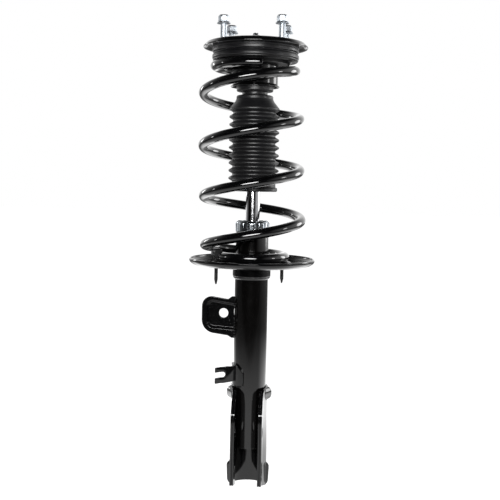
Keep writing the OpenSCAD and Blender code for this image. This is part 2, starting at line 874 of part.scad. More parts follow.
// A swelling pressed out of the sheet: half profile of a capsule, high from z_low to z_high
module capsule(r, z_low, z_high) {
    arc = [for (a = [0 : 15 : 90]) [r * cos(a), r * sin(a)]];
    rotate_extrude($fn = 64)
        polygon(concat(
            [for (p = arc) [p[0], z_high - r + p[1]]],
            [for (p = reversed(arc)) [p[0], z_low + r - p[1]]]
        ));
}

module at_swellings(r, grow) {
    for (side = [-1, 1]) {
        translate([side * 26, -5, 0])
            capsule(r + grow, upper_swell[0] - grow, upper_swell[1] + grow);
        translate([side * 25, -7, 0])
            capsule(r - 0.8 + grow, lower_swell[0] - grow, lower_swell[1] + grow);
    }
}

// The cheeks' side outline in Y and Z, cut right across the bracket
module cheek_cut() {
    translate([-50, 0, 0])
        rotate([90, 0, 90])
            linear_extrude(height = 100)
                offset(r = 4, $fn = 24)
                    offset(delta = -4)
                        polygon(cheek_side);
}

module bolt_holes() {
    for (z = [-1, 1])
        translate([-50, bolt_at[0], bolt_at[1] + z * bolt_gap / 2])
            rotate([0, 90, 0])
                cylinder(r = bolt_hole_r, h = 100);
}

module knuckle_bracket() {
    span = wrap_z[1] - wrap_z[0];
    slot_front = cheek_front - 5;
    slot_back = pinch_y[0];
    color([0.07, 0.07, 0.07])
        difference() {
            union() {
                intersection() {
                    translate([0, 0, wrap_z[0]])
                        linear_extrude(height = span)
                            wrap_plan();
                    cheek_cut();
                }
                at_swellings(swell_r - swell_skin, swell_skin);
            }
            at_swellings(swell_r - knuckle_t, 0);
            translate([0, 0, wrap_z[0]])
                cylinder(r = tube_r + 0.02, h = span);
            translate([-cheek_mid, slot_front, wrap_z[0]])
                cube([2 * cheek_mid, slot_back - slot_front, span]);
            bolt_holes();
        }
}

// Inner layer: a flat doubler inside each cheek
module knuckle_reinforcements() {
    color([0.07, 0.07, 0.07])
        difference() {
            intersection() {
                for (side = [-1, 1])
                    translate([side * (cheek_in + knuckle_t / 2) - knuckle_t / 2, cheek_front, wrap_z[0]])
                        cube([knuckle_t, -25 - cheek_front, wrap_z[1] - wrap_z[0]]);
                cheek_cut();
            }
            bolt_holes();
        }
}

mount_plate();
mount_studs();
stud_nuts();
mount_rubber();
mount_core();
mount_cup();
rod_washer();
rod_nut();
bearing_upper_race();
piston_rod();
rebound_stop();
piston();
piston_band();
valve_shims();
piston_nut();
bearing_lower_race();
bearing_balls();
upper_spring_seat();
upper_insulator();
bump_stop();
dust_boot();
coil_spring();
reservoir_tube();
tube_end_cap();
pressure_tube();
base_valve();
rod_guide();
guide_bush();
rod_seal();
bumper_cap();
lower_spring_seat();
seat_weld_bead();
lower_insulator();
sway_link_bracket();
hose_bracket();
hose_bracket_saddle();
knuckle_bracket();
knuckle_reinforcements();
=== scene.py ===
"""Looks of a front suspension strut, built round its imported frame.

The strut's axis is Z. Its top plate's seating face is at height 0, and the clevis opens towards -Y.
Sizes in the part's classes are millimetres, and the studio's are metres. Every mesh is written in metres in
the frame's own axes.
"""

import logging
import math
from dataclasses import dataclass, field
from enum import Enum

import bpy
import numpy as np
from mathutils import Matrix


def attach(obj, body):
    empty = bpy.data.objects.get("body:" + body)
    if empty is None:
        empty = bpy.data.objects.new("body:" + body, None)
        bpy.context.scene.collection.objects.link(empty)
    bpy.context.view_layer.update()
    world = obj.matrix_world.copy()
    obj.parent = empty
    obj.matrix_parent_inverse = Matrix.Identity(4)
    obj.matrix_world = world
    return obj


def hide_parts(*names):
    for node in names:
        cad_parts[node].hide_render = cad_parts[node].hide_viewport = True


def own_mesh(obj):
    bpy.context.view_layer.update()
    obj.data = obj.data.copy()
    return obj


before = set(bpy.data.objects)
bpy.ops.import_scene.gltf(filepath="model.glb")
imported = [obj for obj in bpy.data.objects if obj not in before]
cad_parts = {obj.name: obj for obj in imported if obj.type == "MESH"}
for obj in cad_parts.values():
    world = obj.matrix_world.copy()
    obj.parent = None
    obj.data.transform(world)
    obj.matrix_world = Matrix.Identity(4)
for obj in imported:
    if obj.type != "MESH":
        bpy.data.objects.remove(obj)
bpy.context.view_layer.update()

MM = 0.001
UPPER = "upper_seat"
TOP = "top_mount"
LOWER = "strut_body"
LOG = logging.getLogger("strut")
Array = np.ndarray
Corner = tuple[float, float, float]
WHITE = (1.0, 1.0, 1.0, 1.0)
# The damper tube's outer radius, to which the cap, the lower seat and the brackets are fitted
TUBE_R = 25.4


# ---------------------------------------------------------------- materials


class Pattern(Enum):
    """What a surface's fine relief looks like."""

    PEEL = "orange peel of a sprayed or dipped coat"
    MOULD = "fine grain of a moulding tool"
    SPANGLE = "crystals of electroplated zinc"
    GROUND = "fine rings left by centreless grinding"
    CELLS = "open skin of a foamed part"
    SINTER = "pores of pressed and sintered powder"
    TURNED = "feed marks of a lathe"


def linear(code: str) -> tuple[float, float, float, float]:
    """Turns an sRGB colour code into Blender's linear colour.

    Each channel c is c / 12.92 up to 0.04045, and ((c + 0.055) / 1.055) ** 2.4 above it.

    Args:
        code: six hexadecimal digits.

    Returns:
        The linear red, green and blue, and an alpha of 1.
    """
    parts = [int(code[i : i + 2], 16) / 255 for i in (0, 2, 4)]
    red, green, blue = (c / 12.92 if c <= 0.04045 else ((c + 0.055) / 1.055) ** 2.4 for c in parts)
    return red, green, blue, 1.0


def add(tree: bpy.types.NodeTree, kind: str, inputs: dict | None = None, **settings) -> bpy.types.Node:
    """Adds one node to a tree.

    Args:
        tree: the tree that it goes in.
        kind: the node's type.
        inputs: its input sockets by name or number, each with a value or with the socket that feeds it.
        settings: the node's own properties.

    Returns:
        The new node.
    """
    made = tree.nodes.new(kind)
    for name, value in settings.items():
        setattr(made, name, value)
    for name, value in (inputs or {}).items():
        if isinstance(value, bpy.types.NodeSocket):
            tree.links.new(value, made.inputs[name])
        else:
            made.inputs[name].default_value = value
    return made


@dataclass(frozen=True)
class Finish:
    """One real surface: what it is made of, its colours, its gloss and its fine relief.

    colour and second are sRGB codes that the pattern and a slow noise mix, and patch is that noise's size.
    rough is the range of roughness. grain is the relief's size and relief its height. Sizes are in mm.
    """

    name: str
    colour: str
    second: str
    rough: tuple[float, float]
    pattern: Pattern
    grain: float
    relief: float
    metallic: float = 0.0
    coat: float = 0.0
    coat_rough: float = 0.08
    sheen: float = 0.0
    patch: float = 30.0

    def material(self) -> bpy.types.Material:
        """Returns this finish's material, made on its first use."""
        found = bpy.data.materials.get(self.name)
        if found is not None:
            return found
        made = bpy.data.materials.new(self.name)
        made.use_nodes = True
        tree = made.node_tree
        tree.nodes.clear()
        place = add(tree, "ShaderNodeTexCoord").outputs["Object"]
        in_mm = add(tree, "ShaderNodeVectorMath", {0: place, "Scale": 1 / MM}, operation="SCALE").outputs[0]
        height, mask = self._relief(tree, in_mm)
        slow = self._noise(tree, in_mm, self.patch, 3)
        blend = add(tree, "ShaderNodeMath", {0: slow, 1: mask, 2: mask}, operation="MULTIPLY_ADD")
        share = add(tree, "ShaderNodeMapRange", {"Value": blend.outputs[0], "From Min": 0.35,
                                                 "From Max": 1.25})
        tint = add(tree, "ShaderNodeMix", {"Factor": share.outputs[0], 6: linear(self.colour),
                                           7: linear(self.second)}, data_type="RGBA")
        # Smaller clouds of dull and bright: a noise lies almost wholly between 0.3 and 0.7
        cloud = self._noise(tree, in_mm, self.patch * 0.4, 4)
        gloss = add(tree, "ShaderNodeMapRange", {"Value": cloud, "From Min": 0.3, "From Max": 0.7,
                                                 "To Min": self.rough[0], "To Max": self.rough[1]})
        bump = add(tree, "ShaderNodeBump", {"Height": height, "Strength": 1.0, "Distance": self.relief * MM})
        shader = add(tree, "ShaderNodeBsdfPrincipled", {
            "Base Color": tint.outputs[2], "Roughness": gloss.outputs[0], "Normal": bump.outputs[0],
            "Metallic": self.metallic, "Coat Weight": self.coat, "Coat Roughness": self.coat_rough,
            "Sheen Weight": self.sheen, "Sheen Roughness": 0.4})
        if self.coat:
            tree.links.new(bump.outputs[0], shader.inputs["Coat Normal"])
        add(tree, "ShaderNodeOutputMaterial", {"Surface": shader.outputs[0]})
        return made

    @staticmethod
    def _noise(tree: bpy.types.NodeTree, place: bpy.types.NodeSocket, size: float,
               detail: float) -> bpy.types.NodeSocket:
        """Adds a noise whose lumps are about size mm across, and returns its value."""
        made = add(tree, "ShaderNodeTexNoise", {"Vector": place, "Scale": 1 / size, "Detail": detail})
        return made.outputs["Fac"]

    def _relief(self, tree: bpy.types.NodeTree, in_mm: bpy.types.NodeSocket) -> tuple:
        """Adds the pattern's nodes.

        Args:
            tree: the material's node tree.
            in_mm: the point on the piece, in mm.

        Returns:
            The socket of the relief's height and the socket of the colour mask, both from 0 to 1.
        """
        if self.pattern in (Pattern.SPANGLE, Pattern.CELLS):
            cells = add(tree, "ShaderNodeTexVoronoi", {"Vector": in_mm, "Scale": 1 / self.grain},
                        feature="F1" if self.pattern is Pattern.SPANGLE else "SMOOTH_F1")
            height = cells.outputs["Distance"]
            if self.pattern is Pattern.CELLS:
                return height, height
            # Each crystal has a grey of its own
            return height, add(tree, "ShaderNodeRGBToBW", {"Color": cells.outputs["Color"]}).outputs[0]
        if self.pattern in (Pattern.GROUND, Pattern.TURNED):
            # Rings that hardly change on the way round
            across = 0.004 if self.pattern is Pattern.TURNED else 0.03
            rings = add(tree, "ShaderNodeVectorMath", {0: in_mm, 1: (across, across, 1 / self.grain)},
                        operation="MULTIPLY")
            lines = add(tree, "ShaderNodeTexNoise", {"Vector": rings.outputs[0], "Scale": 1.0, "Detail": 5.0,
                                                     "Roughness": 0.65})
            return lines.outputs["Fac"], lines.outputs["Fac"]
        detail = {Pattern.PEEL: 1.5, Pattern.MOULD: 4.0}.get(self.pattern, 8.0)
        fine = self._noise(tree, in_mm, self.grain, detail)
        return fine, fine


# Black cathodic dip coat over pressed steel: smooth, with a slight orange peel from baking.
DIP_COAT = Finish("black_dip_coated_steel", "080809", "0e0e0f", (0.09, 0.15), Pattern.PEEL, 1.8, 0.002,
                  coat=0.5, coat_rough=0.06)
# The damper tube's sprayed black enamel, a little softer in gloss than the coil.
TUBE_PAINT = Finish("black_enamelled_tube", "060505", "0a0909", (0.1, 0.16), Pattern.PEEL, 2.4, 0.004,
                    coat=0.6, coat_rough=0.07, patch=60.0)
# Thick powder coat on the coil, the glossiest black on the part.
POWDER_COAT = Finish("black_powder_coated_spring", "060607", "0c0c0d", (0.08, 0.13), Pattern.PEEL, 2.6, 0.005,
                     coat=0.8, coat_rough=0.05)
# Zinc plate with a thin blue passivation on nuts and studs.
BLUE_ZINC = Finish("blue_zinc_plated_steel", "ccd4dc", "e6ebef", (0.42, 0.54), Pattern.SPANGLE, 0.9, 0.005,
                   metallic=1.0, patch=9.0)
# The same plate on the bumper cap, smoother because the sheet under it is cold-rolled.
CAP_ZINC = Finish("zinc_plated_pressed_cap", "bcc5ce", "e6ebef", (0.14, 0.26), Pattern.SPANGLE, 0.9, 0.008,
                  metallic=1.0, patch=6.0)
# Hard chrome on the piston rod, ground and polished round and round.
HARD_CHROME = Finish("hard_chromed_rod", "c9c9cc", "dcdcde", (0.11, 0.15), Pattern.GROUND, 0.11, 0.0008,
                     metallic=1.0)
# Machined steel with an oil film on the washer, the core and the rod's nut.
BARE_STEEL = Finish("machined_steel", "8d8f93", "a9abb0", (0.26, 0.4), Pattern.TURNED, 0.3, 0.01,
                    metallic=1.0)
# Ground bearing balls.
BALL_STEEL = Finish("ground_bearing_steel", "c8c9cc", "d8d9dc", (0.08, 0.15), Pattern.SINTER, 0.3, 0.001,
                    metallic=1.0)
# Glass-filled nylon of the bearing's two halves, satin from its tool.
NYLON = Finish("glass_filled_nylon", "0e0e10", "151517", (0.28, 0.38), Pattern.MOULD, 0.5, 0.02)
# Natural rubber bonded in the mount and under the coil ends.
SEAT_RUBBER = Finish("moulded_seat_rubber", "0c0c0d", "131314", (0.3, 0.42), Pattern.MOULD, 0.7, 0.03)
# Thermoplastic rubber of the blown dust boot, with a soft satin skin.
BOOT_RUBBER = Finish("blown_boot_rubber", "151516", "1c1c1e", (0.34, 0.46), Pattern.MOULD, 0.9, 0.02,
                     sheen=0.03)
# Microcellular urethane of the bump stop.
STOP_FOAM = Finish("microcellular_urethane", "23231f", "34332d", (0.7, 0.85), Pattern.CELLS, 0.9, 0.08)
# Pressed and sintered iron of piston, guide and foot valve, dark with oil.
SINTERED = Finish("sintered_iron", "4b4b4e", "636366", (0.4, 0.55), Pattern.SINTER, 0.5, 0.03, metallic=0.9)
# Cold-drawn tube and spring-steel discs inside the damper.
DRAWN_STEEL = Finish("cold_drawn_steel", "85878b", "9c9ea2", (0.22, 0.34), Pattern.TURNED, 0.5, 0.006,
                     metallic=1.0)
# Bronze-backed bush in the rod guide.
BRONZE = Finish("guide_bush_bronze", "a57b4c", "bb925f", (0.25, 0.38), Pattern.TURNED, 0.3, 0.008,
                metallic=1.0)
# Nitrile of the rod seal and the filled band round the piston.
NITRILE = Finish("nitrile_seal_rubber", "181414", "211c1c", (0.4, 0.55), Pattern.MOULD, 0.4, 0.01)


# ------------------------------------------------------------------ surfaces


class Caps(Enum):
    """Which ends of a surface are closed, with a flat face each. It joins up the other way."""

    NONE = "none, because it joins up both ways"
    ROWS = "its first and last row"
    COLS = "its first and last column"


def full_turn(count: int) -> Array:
    """Returns count angles, evenly round a full turn."""
    return np.linspace(0, 2 * math.pi, count, endpoint=False)


def polar(radius: Array | float, angle: Array, *height: Array | float) -> Array:
    """The points r * cos(a), r * sin(a), each with its height where one is given."""
    return np.stack(np.broadcast_arrays(radius * np.cos(angle), radius * np.sin(angle), *height), -1)


def unit(rows: Array) -> Array:
    """Each row divided by its length."""
    return rows / np.maximum(np.linalg.norm(rows, axis=1), 1e-9)[:, None]


def run_length(path: Array) -> Array:
    """The distance along a path from its first point to each point."""
    return np.concatenate([[0], np.cumsum(np.linalg.norm(np.diff(path, axis=0), axis=1))])


def quarter_round(radius: float, count: int = 5) -> tuple[Array, Array]:
    """An eased edge: r * (1 - cos(a)) down the one side, and r * (1 - sin(a)) in from it."""
    turn = np.linspace(0, math.pi / 2, count)
    return radius * (1 - np.cos(turn)), radius * (1 - np.sin(turn))


def end_inset(run: Array, edge: float) -> Array:
    """How far a section shrinks at a distance d from an end: e - sqrt(e * e - (e - d) ** 2)."""
    inside = np.clip(np.minimum(run, run[-1] - run), 0, edge)
    return edge - np.sqrt(edge**2 - (edge - inside) ** 2)


def rounded(corners: list[Corner], closed: bool = True, steps: int = 6) -> Array:
    """Rounds the corners of a flat outline.

    At a corner with half angle h, a fillet of radius r starts r / tan(h) along each side, and its centre is
    r / sin(h) from the corner. A point just outside each end of the fillet keeps the flats flat when shaded.

    Args:
        corners: the outline's points, each with its radius in mm.
        closed: whether the last point joins the first. The two ends of an open outline stay sharp.
        steps: parts in each fillet.

    Returns:
        The points of the rounded outline, n by 2.
    """
    data = np.array(corners, float)
    point = data[:, :2]
    back, ahead = np.roll(point, 1, 0) - point, np.roll(point, -1, 0) - point
    shorter = np.minimum(np.linalg.norm(back, axis=1), np.linalg.norm(ahead, axis=1))
    back, ahead = unit(back), unit(ahead)
    half = np.arccos(np.clip((back * ahead).sum(1), -1, 1)) / 2
    half = np.clip(half, 0.02, math.pi / 2 - 0.01)
    # A fillet takes less than half of the shorter side, and at least 0.05 mm of radius
    reach = np.minimum(np.maximum(data[:, 2], 0.05) / np.tan(half), 0.44 * shorter)
    radius = reach * np.tan(half)
    centre = point + unit(back + ahead) * (radius / np.sin(half))[:, None]
    first = (point + back * reach[:, None] - centre) / radius[:, None]
    last = (point + ahead * reach[:, None] - centre) / radius[:, None]
    share = np.linspace(0, 1, steps + 1)[None, :, None]
    turn = (math.pi - 2 * half)[:, None, None]
    arc = (np.sin((1 - share) * turn) * first[:, None] + np.sin(share * turn) * last[:, None]) / np.sin(turn)
    arc = centre[:, None] + radius[:, None, None] * arc
    beyond = (reach + np.minimum(0.3 * radius, 0.05 * shorter))[:, None]
    lead, trail = (point + back * beyond)[:, None], (point + ahead * beyond)[:, None]
    rows = np.concatenate([lead, arc, trail], axis=1)
    if closed:
        return rows.reshape(-1, 2)
    return np.vstack([point[:1], rows[1:-1].reshape(-1, 2), point[-1:]])


def lathe(profile: Array, segments: int) -> Array:
    """Turns a profile of radius and height about the axis. Returns a grid, segments by points by 3."""
    return polar(profile[None, :, 0], full_turn(segments)[:, None], profile[None, :, 1])


def ease(value: Array, low: float, high: float) -> Array:
    """Smooth step u * u * (3 - 2 * u), from 0 at low to 1 at high."""
    u = np.clip((value - low) / (high - low), 0, 1)
    return u * u * (3 - 2 * u)


def resampled(line: Array, count: int, closed: bool = False) -> Array:
    """Spaces points evenly along a line.

    Args:
        line: its points, n by k.
        count: how many points to make.
        closed: whether its last point joins the first.

    Returns:
        The new points, count by k.
    """
    path = np.vstack([line, line[:1]]) if closed else line
    run = run_length(path)
    at = np.linspace(0, run[-1], count, endpoint=not closed)
    return np.stack([np.interp(at, run, path[:, k]) for k in range(path.shape[1])], axis=1)


@dataclass
class Shell:
    """Closed surfaces that become one piece. Each faces outwards, whichever way it was drawn."""

    points: list[Array] = field(default_factory=list)
    quads: list[Array] = field(default_factory=list)
    caps: list[Array] = field(default_factory=list)
    count: int = 0

    def surface(self, grid: Array, caps: Caps = Caps.NONE) -> "Shell":
        """Adds a grid of points in mm as quads.

        Its volume, the sum of a . (b x c) / 6 over its triangles, tells whether it has to be turned round.

        Args:
            grid: rows by columns by 3.
            caps: the ends that are closed with flat faces.

        Returns:
            This shell.
        """
        rows, cols = grid.shape[:2]
        index = np.arange(rows * cols).reshape(rows, cols)
        ringed = index if caps is Caps.ROWS else np.vstack([index, index[:1]])
        ringed = ringed if caps is Caps.COLS else np.hstack([ringed, ringed[:, :1]])
        corners = [ringed[:-1, :-1], ringed[1:, :-1], ringed[1:, 1:], ringed[:-1, 1:]]
        quads = np.stack(corners, -1).reshape(-1, 4)
        ends = {Caps.NONE: [], Caps.ROWS: [index[0], index[-1][::-1]],
                Caps.COLS: [index[:, 0][::-1], index[:, -1]]}[caps]
        flat = grid.reshape(-1, 3)
        fans = [np.stack([np.full(len(e) - 2, e[0]), e[1:-1], e[2:]], 1) for e in ends]
        tris = np.vstack([quads[:, :3], quads[:, [0, 2, 3]], *fans])
        a, b, c = (flat[tris[:, k]] for k in range(3))
        if np.einsum("ij,ij->", a, np.cross(b, c)) < 0:
            quads, ends = quads[:, ::-1], [e[::-1] for e in ends]
        self.points.append(flat)
        self.quads.append(quads + self.count)
        self.caps.extend(e + self.count for e in ends)
        self.count += len(flat)
        return self

    def turned(self, corners: list[Corner], segments: int = 192, solid: bool = False, steps: int = 6,
               place: Corner = (0.0, 0.0, 0.0)) -> "Shell":
        """Adds a rounded outline of radius and height, turned about an upright line.

        Args:
            corners: the outline's points, each with its radius of rounding.
            segments: parts round the turn.
            solid: whether the outline is open, from the line back to it.
            steps: parts in each fillet.
            place: the line's X and Y, and what is added to each height.

        Returns:
            This shell.
        """
        grid = lathe(rounded(corners, not solid, steps), segments) + np.array(place)
        return self.surface(grid, Caps.COLS if solid else Caps.NONE)

    def piece(self, name: str, body: str, finish: Finish, slot: str, *nodes: str) -> bpy.types.Object:
        """Makes the mesh, and puts it in place of its frame nodes.

        Args:
            name: the piece's name.
            body: the frame body that it moves with.
            finish: its surface.
            slot: the record's material slot; not used.
            nodes: the frame nodes that it stands for.

        Returns:
            The new object, at the origin.
        """
        flat = np.vstack(self.points) * MM
        loops = np.concatenate([np.vstack(self.quads).ravel(), *self.caps])
        sizes = np.array([4] * sum(len(q) for q in self.quads) + [len(c) for c in self.caps])
        mesh = bpy.data.meshes.new(name)
        mesh.vertices.add(len(flat))
        mesh.vertices.foreach_set("co", flat.astype(np.float32).ravel())
        mesh.loops.add(len(loops))
        mesh.loops.foreach_set("vertex_index", loops.astype(np.int32))
        mesh.polygons.add(len(sizes))
        mesh.polygons.foreach_set("loop_start", (np.cumsum(sizes) - sizes).astype(np.int32))
        mesh.update(calc_edges=True)
        mesh.shade_smooth()
        mesh.materials.append(finish.material())
        made = bpy.data.objects.new(name, mesh)
        bpy.context.scene.collection.objects.link(made)
        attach(made, body)
        if nodes:
            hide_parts(*nodes)
        LOG.info("%s: %d faces, for %s", name, len(sizes), ", ".join(nodes) or "no node")
        return made


def hexagon(across: float, low: float, high: float, bore: float, crown: float, spin: float = 0.0) -> Array:
    """A hexagon nut's surface, with its corners turned down to a cone at the crown.

    The flat's radius at angle a is f / cos(a') with a' the angle from the flat's middle. The cone cuts it at
    each height, so the flats end in the arcs that a real nut shows.

    Args:
        across: size across the flats.
        low: level of the seat.
        high: level of the top.
        bore: radius of the bore.
        crown: height of the cone at the corners.
        spin: how far the nut is turned.

    Returns:
        A grid that closes on itself both ways.
    """
    blunt, chamfer, lead_in, dip = 0.25, 0.3, 0.6, 0.8
    angle = full_turn(144)
    off = (angle + math.pi / 6) % (math.pi / 3) - math.pi / 6
    corner = across / 2 / math.cos(math.pi / 6)
    face = np.minimum(across / 2 / np.cos(off), corner - blunt)
    levels = np.concatenate([[low, low + chamfer], np.linspace(high - crown - 0.4, high, 10)])
    cone = corner - np.clip(levels - (high - crown), 0, None) / crown * (corner - across / 2 + dip)
    low_edge = np.where(levels == low, chamfer, 0)
    outside = np.minimum(face[:, None], cone[None, :]) - low_edge[None, :]
    rim = np.array([[bore + lead_in, high], [bore, high - lead_in], [bore, low]])
    radius = np.hstack([outside, np.tile(rim[:, 0], (len(angle), 1))])
    return polar(radius, angle[:, None] + spin, np.concatenate([levels, rim[:, 1]])[None])


def sheet(path: Array, low: Array, high: Array, thick: float, edge: float, levels: int = 96) -> Array:
    """An upright sheet along a plan path, with eased edges.

    Each section is a loop: up the outer face, over the top edge, down the inner face and round the bottom
    edge. Near both ends of the path the sheet thins as end_inset says.

    Args:
        path: the sheet's middle line in plan, n by 2, ordered so that its outer side is on the right.
        low: the lower edge's level at each point of the path.
        high: the upper edge's level at each point of the path.
        thick: the sheet's thickness.
        edge: the radius of its eased edges.
        levels: parts between the lower and the upper edge.

    Returns:
        A grid, sections by loop points by 3, that closes on itself along the loop.
    """
    along = unit(np.gradient(path, axis=0))
    right = np.stack([along[:, 1], -along[:, 0]], axis=1)
    rise, side = quarter_round(edge)
    flat = np.linspace(0, 1, levels)
    # Up one face: share of the height, offset from that edge, and how far inside the face
    share = np.concatenate([0 * rise, flat, 0 * rise + 1])
    lift = np.concatenate([rise, edge * (1 - 2 * flat), -rise[::-1]])
    inset = np.concatenate([side, 0 * flat, side[::-1]])
    # The other face is the same the other way
    sign = np.repeat([1, -1], len(share))
    share, lift, inset = (np.concatenate([row, row[::-1]]) for row in (share, lift, inset))
    height = low[:, None] + (high - low)[:, None] * share + lift
    offset = sign * (thick / 2 - inset - end_inset(run_length(path), edge)[:, None])
    plan = path[:, None] + right[:, None] * offset[..., None]
    return np.concatenate([plan, height[..., None]], axis=-1)


# ----------------------------------------------------------------- top mount


@dataclass
class TopMount:
    """Plate, rubber, core, cup, studs with their nuts, and the rod's washer and nut."""

    plate_r: float = 81.5
    flat_r: float = 73.0
    thick: float = 3.0
    drop: float = 7.5
    cup_r: float = 42.0
    core_r: float = 12.2
    bore_r: float = 7.1
    pcd: float = 125.0
    turn_deg: float = -2.4
    stud_top: float = 34.8
    nut_z: float = 22.0
    nut_h: float = 13.0
    nut_flats: float = 15.0

    def build(self) -> None:
        """Makes every piece that moves with the top mount."""
        self._plate()
        self._mount()
        self._studs()

    def _plate(self) -> None:
        """The pressed plate, with its lip turned down and out."""
        r, flat, low, lip = self.plate_r, self.flat_r, -self.drop, self.plate_r - 1.9
        corners = [(17, 0, 1), (flat, 0, 4), (flat + 3.6, -1.4, 3), (lip, low + 2.9, 2), (r, low + 0.8, 1.2),
                   (r - 0.4, low - 1.2, 0.9), (lip - 1.5, low - 0.2, 1.4), (flat + 1.8, -self.thick - 1.2, 2),
                   (flat - 1.9, -self.thick, 2), (17, -self.thick, 1)]
        Shell().turned(corners, 256).piece(
            "top_plate_pressing", TOP, DIP_COAT, "gloss_black_steel", "mount_plate")

    def _mount(self) -> None:
        """The rubber between cup and core, with a shallow channel moulded round its lower face."""
        cup, core, bore = self.cup_r, self.core_r, self.bore_r
        rubber = [(core + 0.1, -3.4, 0.6), (20, -3.05, 2), (24, -5.6, 2), (31, -5.6, 2), (36, -3.05, 2),
                  (cup - 0.1, -3.05, 0.4), (cup - 0.1, -13.9, 0.6), (core + 0.1, -13.9, 0.6)]
        Shell().turned(rubber).piece("mount_rubber_ring", TOP, SEAT_RUBBER, "mount_rubber", "mount_rubber")
        pan = [(14, -14, 0.6), (cup, -14, 1), (cup, -3, 0.2), (cup + 2.5, -3, 0.2), (cup + 2.5, -15.2, 1.6),
               (cup + 1.4, -16.5, 1), (14, -16.5, 0.8)]
        Shell().turned(pan).piece("mount_cup_pressing", TOP, DIP_COAT, "gloss_black_steel", "mount_cup")
        sleeve = [(bore, 1, 0.5), (core, 1, 0.6), (core, -7, 0.3), (28, -7, 1), (28, -10, 1),
                  (core, -10, 0.3), (core, -17.5, 0.4), (bore, -17.5, 0.4)]
        Shell().turned(sleeve).piece("mount_core_sleeve", TOP, BARE_STEEL, "bare_steel", "mount_core")
        washer = [(bore, -20, 0.3), (12.8, -20, 0.7), (12.8, -17.5, 0.7), (bore, -17.5, 0.3)]
        Shell().turned(washer, 128).piece("rod_shoulder_washer", TOP, BARE_STEEL, "bare_steel", "rod_washer")
        nut = hexagon(22, 1, 10, bore - 0.05, 2.2)
        Shell().surface(nut).piece("rod_top_nut", TOP, BARE_STEEL, "bare_steel", "rod_nut")

    def _studs(self) -> None:
        """Four knurled studs pressed through the plate, each with its flange nut."""
        top, seat = self.stud_top, self.nut_z
        shank = [(0.01, top, 0), (4.0, top, 0.8), (4.7, top - 0.9, 0.3), (4.7, seat - 0.1, 0.1),
                 (5, seat - 0.6, 0.2), (5, 0.1, 0.1), (5.3, 0, 0.1), (5.3, -3, 0.1), (8, -3, 0.4),
                 (8, -5.5, 0.7), (0.01, -5.5, 0)]
        flange = [(4.75, seat, 0.1), (9.9, seat, 0.5), (10.3, seat + 0.5, 0.5), (10.1, seat + 1.2, 0.5),
                  (7.9, seat + 3.6, 0.8), (4.75, seat + 3.6, 0.1)]
        studs, nuts = Shell(), Shell()
        for i in range(4):
            angle = math.radians(self.turn_deg + 45 + 90 * i)
            place = (self.pcd / 2 * math.cos(angle), self.pcd / 2 * math.sin(angle), 0)
            studs.turned(shank, 64, solid=True, place=place)
            nuts.turned(flange, 96, place=place)
            # Each nut stops at an angle of its own
            spin = angle + math.radians(11 + 23 * i)
            nut = hexagon(self.nut_flats, seat + 1, seat + self.nut_h, 4.72, 3.0, spin)
            nuts.surface(nut + np.array(place))
        studs.piece("mount_stud_set", TOP, BLUE_ZINC, "zinc_steel", "mount_studs")
        nuts.piece("stud_flange_nuts", TOP, BLUE_ZINC, "zinc_steel", "stud_nuts")


# --------------------------------------------------- bearing, seat and boot


@dataclass
class BearingAndSeat:
    """The bearing's two moulded halves, the pressed upper seat and its rubber."""

    race_r: float = 66.9
    bearing_z: tuple[float, float, float] = (-3.0, -16.0, -26.0)
    barrel_r: float = 35.6
    barrel_z: float = -62.0
    pan_r: float = 62.4
    thick: float = 2.0

    def build(self) -> None:
        """Makes the bearing and seat pieces."""
        self._bearing()
        self._seat()

    def _bearing(self) -> None:
        """The two halves, the upper one with a groove round it and the lower one flared to a lip."""
        r = self.race_r
        top, split, foot = self.bearing_z
        upper = [(44.8, top, 0.5), (r - 0.6, top, 0.5), (r, top - 0.8, 0.5), (r, -9.2, 0.4),
                 (r - 0.7, -9.8, 0.4), (r - 0.7, -10.8, 0.4), (r, -11.4, 0.4), (r, split + 1, 0.8),
                 (r - 1, split, 0.6), (44.8, split, 0.5)]
        Shell().turned(upper, 256).piece(
            "bearing_cover_half", TOP, NYLON, "bearing_plastic", "bearing_upper_race")
        lower = [(45.6, foot, 0.4), (45.6, split - 0.5, 0.4), (r - 1.7, split - 0.5, 0.5),
                 (r - 1.5, -18.3, 0.8), (r + 0.1, -20.1, 1.2), (r + 0.5, -23.1, 1.4),
                 (r + 0.2, foot + 1.1, 0.9), (r - 0.6, foot, 0.5)]
        Shell().turned(lower, 256).piece(
            "bearing_seat_half", UPPER, NYLON, "bearing_plastic", "bearing_lower_race")

    def _seat(self) -> None:
        """The pressed seat with its barrel and the boot's floor, and the rubber under its pan."""
        r, pan, race = self.barrel_r, self.pan_r, self.race_r
        top, floor, bore = self.bearing_z[2], self.barrel_z, self.barrel_r - self.thick
        under = top - self.thick
        seat = [(bore, top, 1), (pan, top, 0.6), (pan, under, 0.6), (r + 1.6, under, 2),
                (r, under - 1.6, 1.6), (r, floor - 3.6, 3), (r + 2.6, floor - 5.8, 1.2),
                (r + 2.2, floor - 7, 0.5), (r - 0.6, floor - 5.8, 1), (bore, floor - 4, 1.4),
                (bore, floor, 0.2), (17.5, floor, 0.6), (17.5, floor + self.thick, 0.6),
                (bore, floor + self.thick, 0.8)]
        Shell().turned(seat, 256).piece(
            "upper_seat_pressing", UPPER, DIP_COAT, "gloss_black_steel", "upper_spring_seat")
        rubber = [(r + 0.1, under - 1.8, 0.2), (r + 1.7, under, 0.4), (pan, under, 0.2), (pan, top, 0.2),
                  (race - 0.8, top, 0.6), (race - 0.7, under, 0.8), (65, -29.2, 0.8), (56.6, -29.3, 2.2),
                  (52.4, -34.2, 2), (50.6, -35, 1), (r + 0.1, -35.2, 0.6)]
        Shell().turned(rubber, 256).piece(
            "upper_coil_rubber", UPPER, SEAT_RUBBER, "seat_rubber", "upper_insulator")


